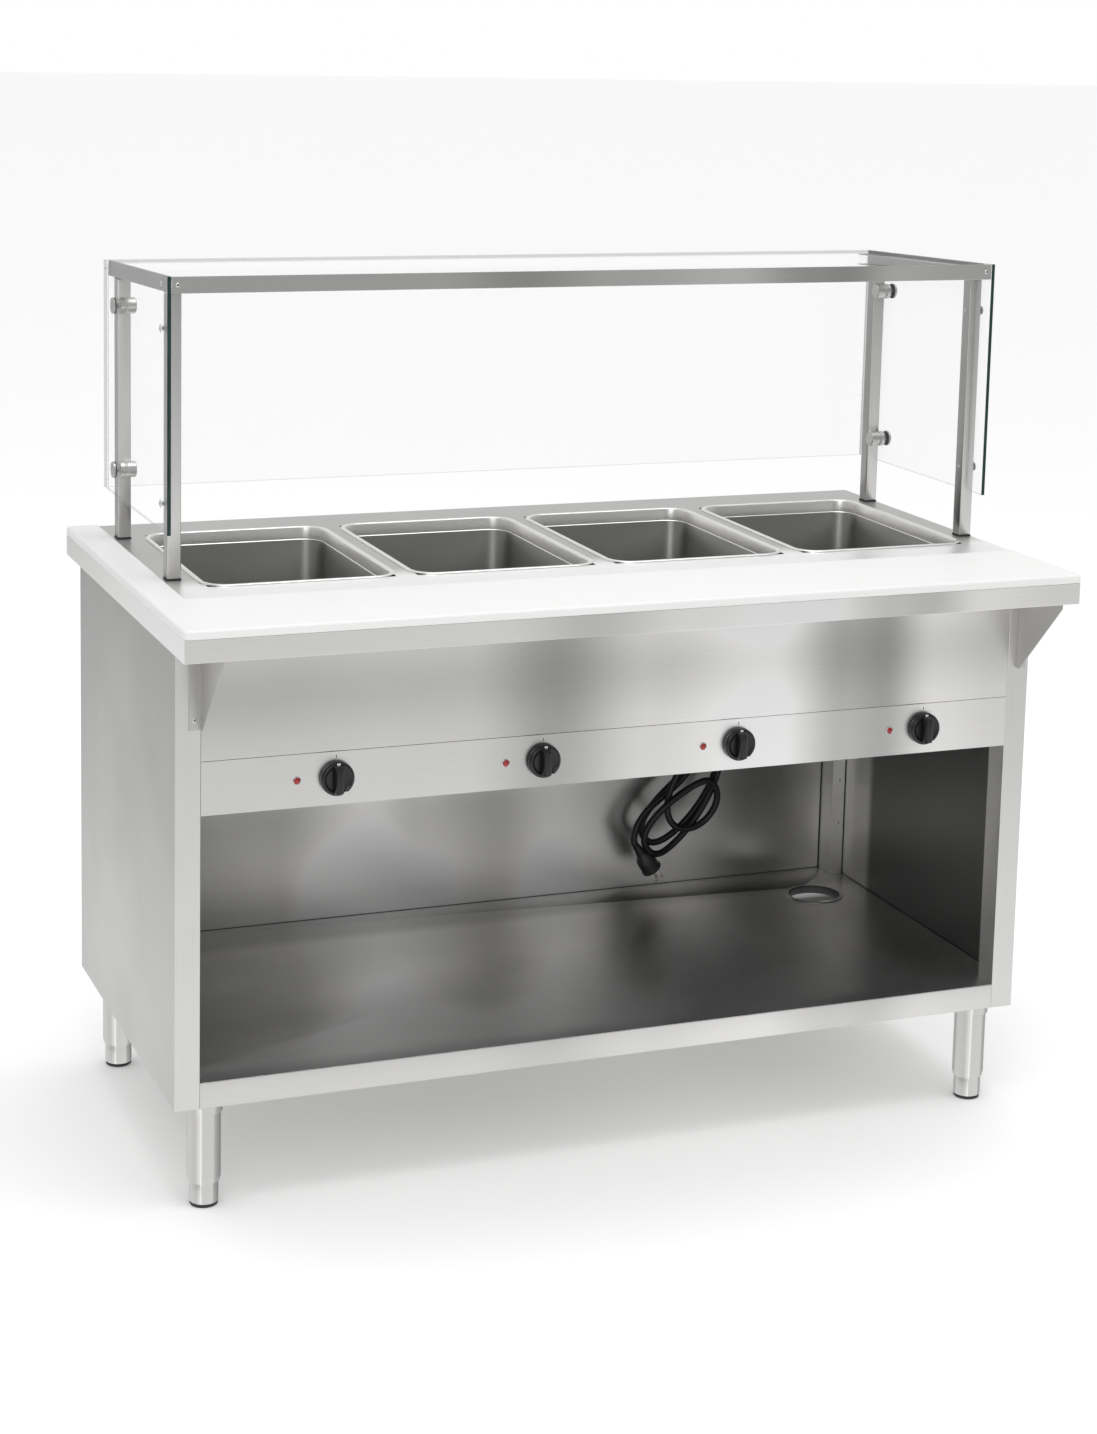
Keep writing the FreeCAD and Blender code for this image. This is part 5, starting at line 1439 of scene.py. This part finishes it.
class FOODTABLE_OT_glass(FoodTableOperator, bpy.types.Operator):
    """Add the food guard's panes"""
    bl_idname = "food_table.glass"
    bl_label = "Glass"
    build = staticmethod(build_glass)


class FOODTABLE_OT_clamps(FoodTableOperator, bpy.types.Operator):
    """Add the glass clamps and caps"""
    bl_idname = "food_table.clamps"
    bl_label = "Clamps"
    build = staticmethod(build_clamps)


class FOODTABLE_OT_screws(FoodTableOperator, bpy.types.Operator):
    """Add the screw heads"""
    bl_idname = "food_table.screws"
    bl_label = "Screws"
    build = staticmethod(build_screws)


class FOODTABLE_OT_supply(FoodTableOperator, bpy.types.Operator):
    """Add the supply cord, its plug, gland and strap"""
    bl_idname = "food_table.supply"
    bl_label = "Supply cord"
    build = staticmethod(build_supply)


OPERATORS = (
    FOODTABLE_OT_stage, FOODTABLE_OT_cabinet, FOODTABLE_OT_counter, FOODTABLE_OT_wells,
    FOODTABLE_OT_controls, FOODTABLE_OT_legs, FOODTABLE_OT_guard_frame, FOODTABLE_OT_glass,
    FOODTABLE_OT_clamps, FOODTABLE_OT_screws, FOODTABLE_OT_supply,
)


class FOODTABLE_PT_panel(bpy.types.Panel):
    """Buttons and settings of the food table"""
    bl_label = "Food Table"
    bl_idname = "FOODTABLE_PT_panel"
    bl_space_type = "VIEW_3D"
    bl_region_type = "UI"
    bl_category = "Food Table"

    def draw(self, context):
        for operator in OPERATORS:
            self.layout.operator(operator.bl_idname)
        for group in (context.scene.food_table_finish, context.scene.food_table_shape,
                      context.scene.food_table_stage):
            column = self.layout.column()
            for name in group.__annotations__:
                column.prop(group, name)


GROUPS = {"food_table_finish": FoodTableFinish, "food_table_shape": FoodTableShape,
          "food_table_stage": FoodTableStage}
CLASSES = (*GROUPS.values(), *OPERATORS, FOODTABLE_PT_panel)


def register():
    for item in CLASSES:
        bpy.utils.register_class(item)
    for name, group in GROUPS.items():
        setattr(bpy.types.Scene, name, PointerProperty(type=group))


def unregister():
    for name in GROUPS:
        delattr(bpy.types.Scene, name)
    for item in reversed(CLASSES):
        bpy.utils.unregister_class(item)


def main():
    """Build every piece in order."""
    register()
    for operator in OPERATORS:
        group, name = operator.bl_idname.split(".")
        getattr(getattr(bpy.ops, group), name)()


if __name__ == "__main__":
    main()
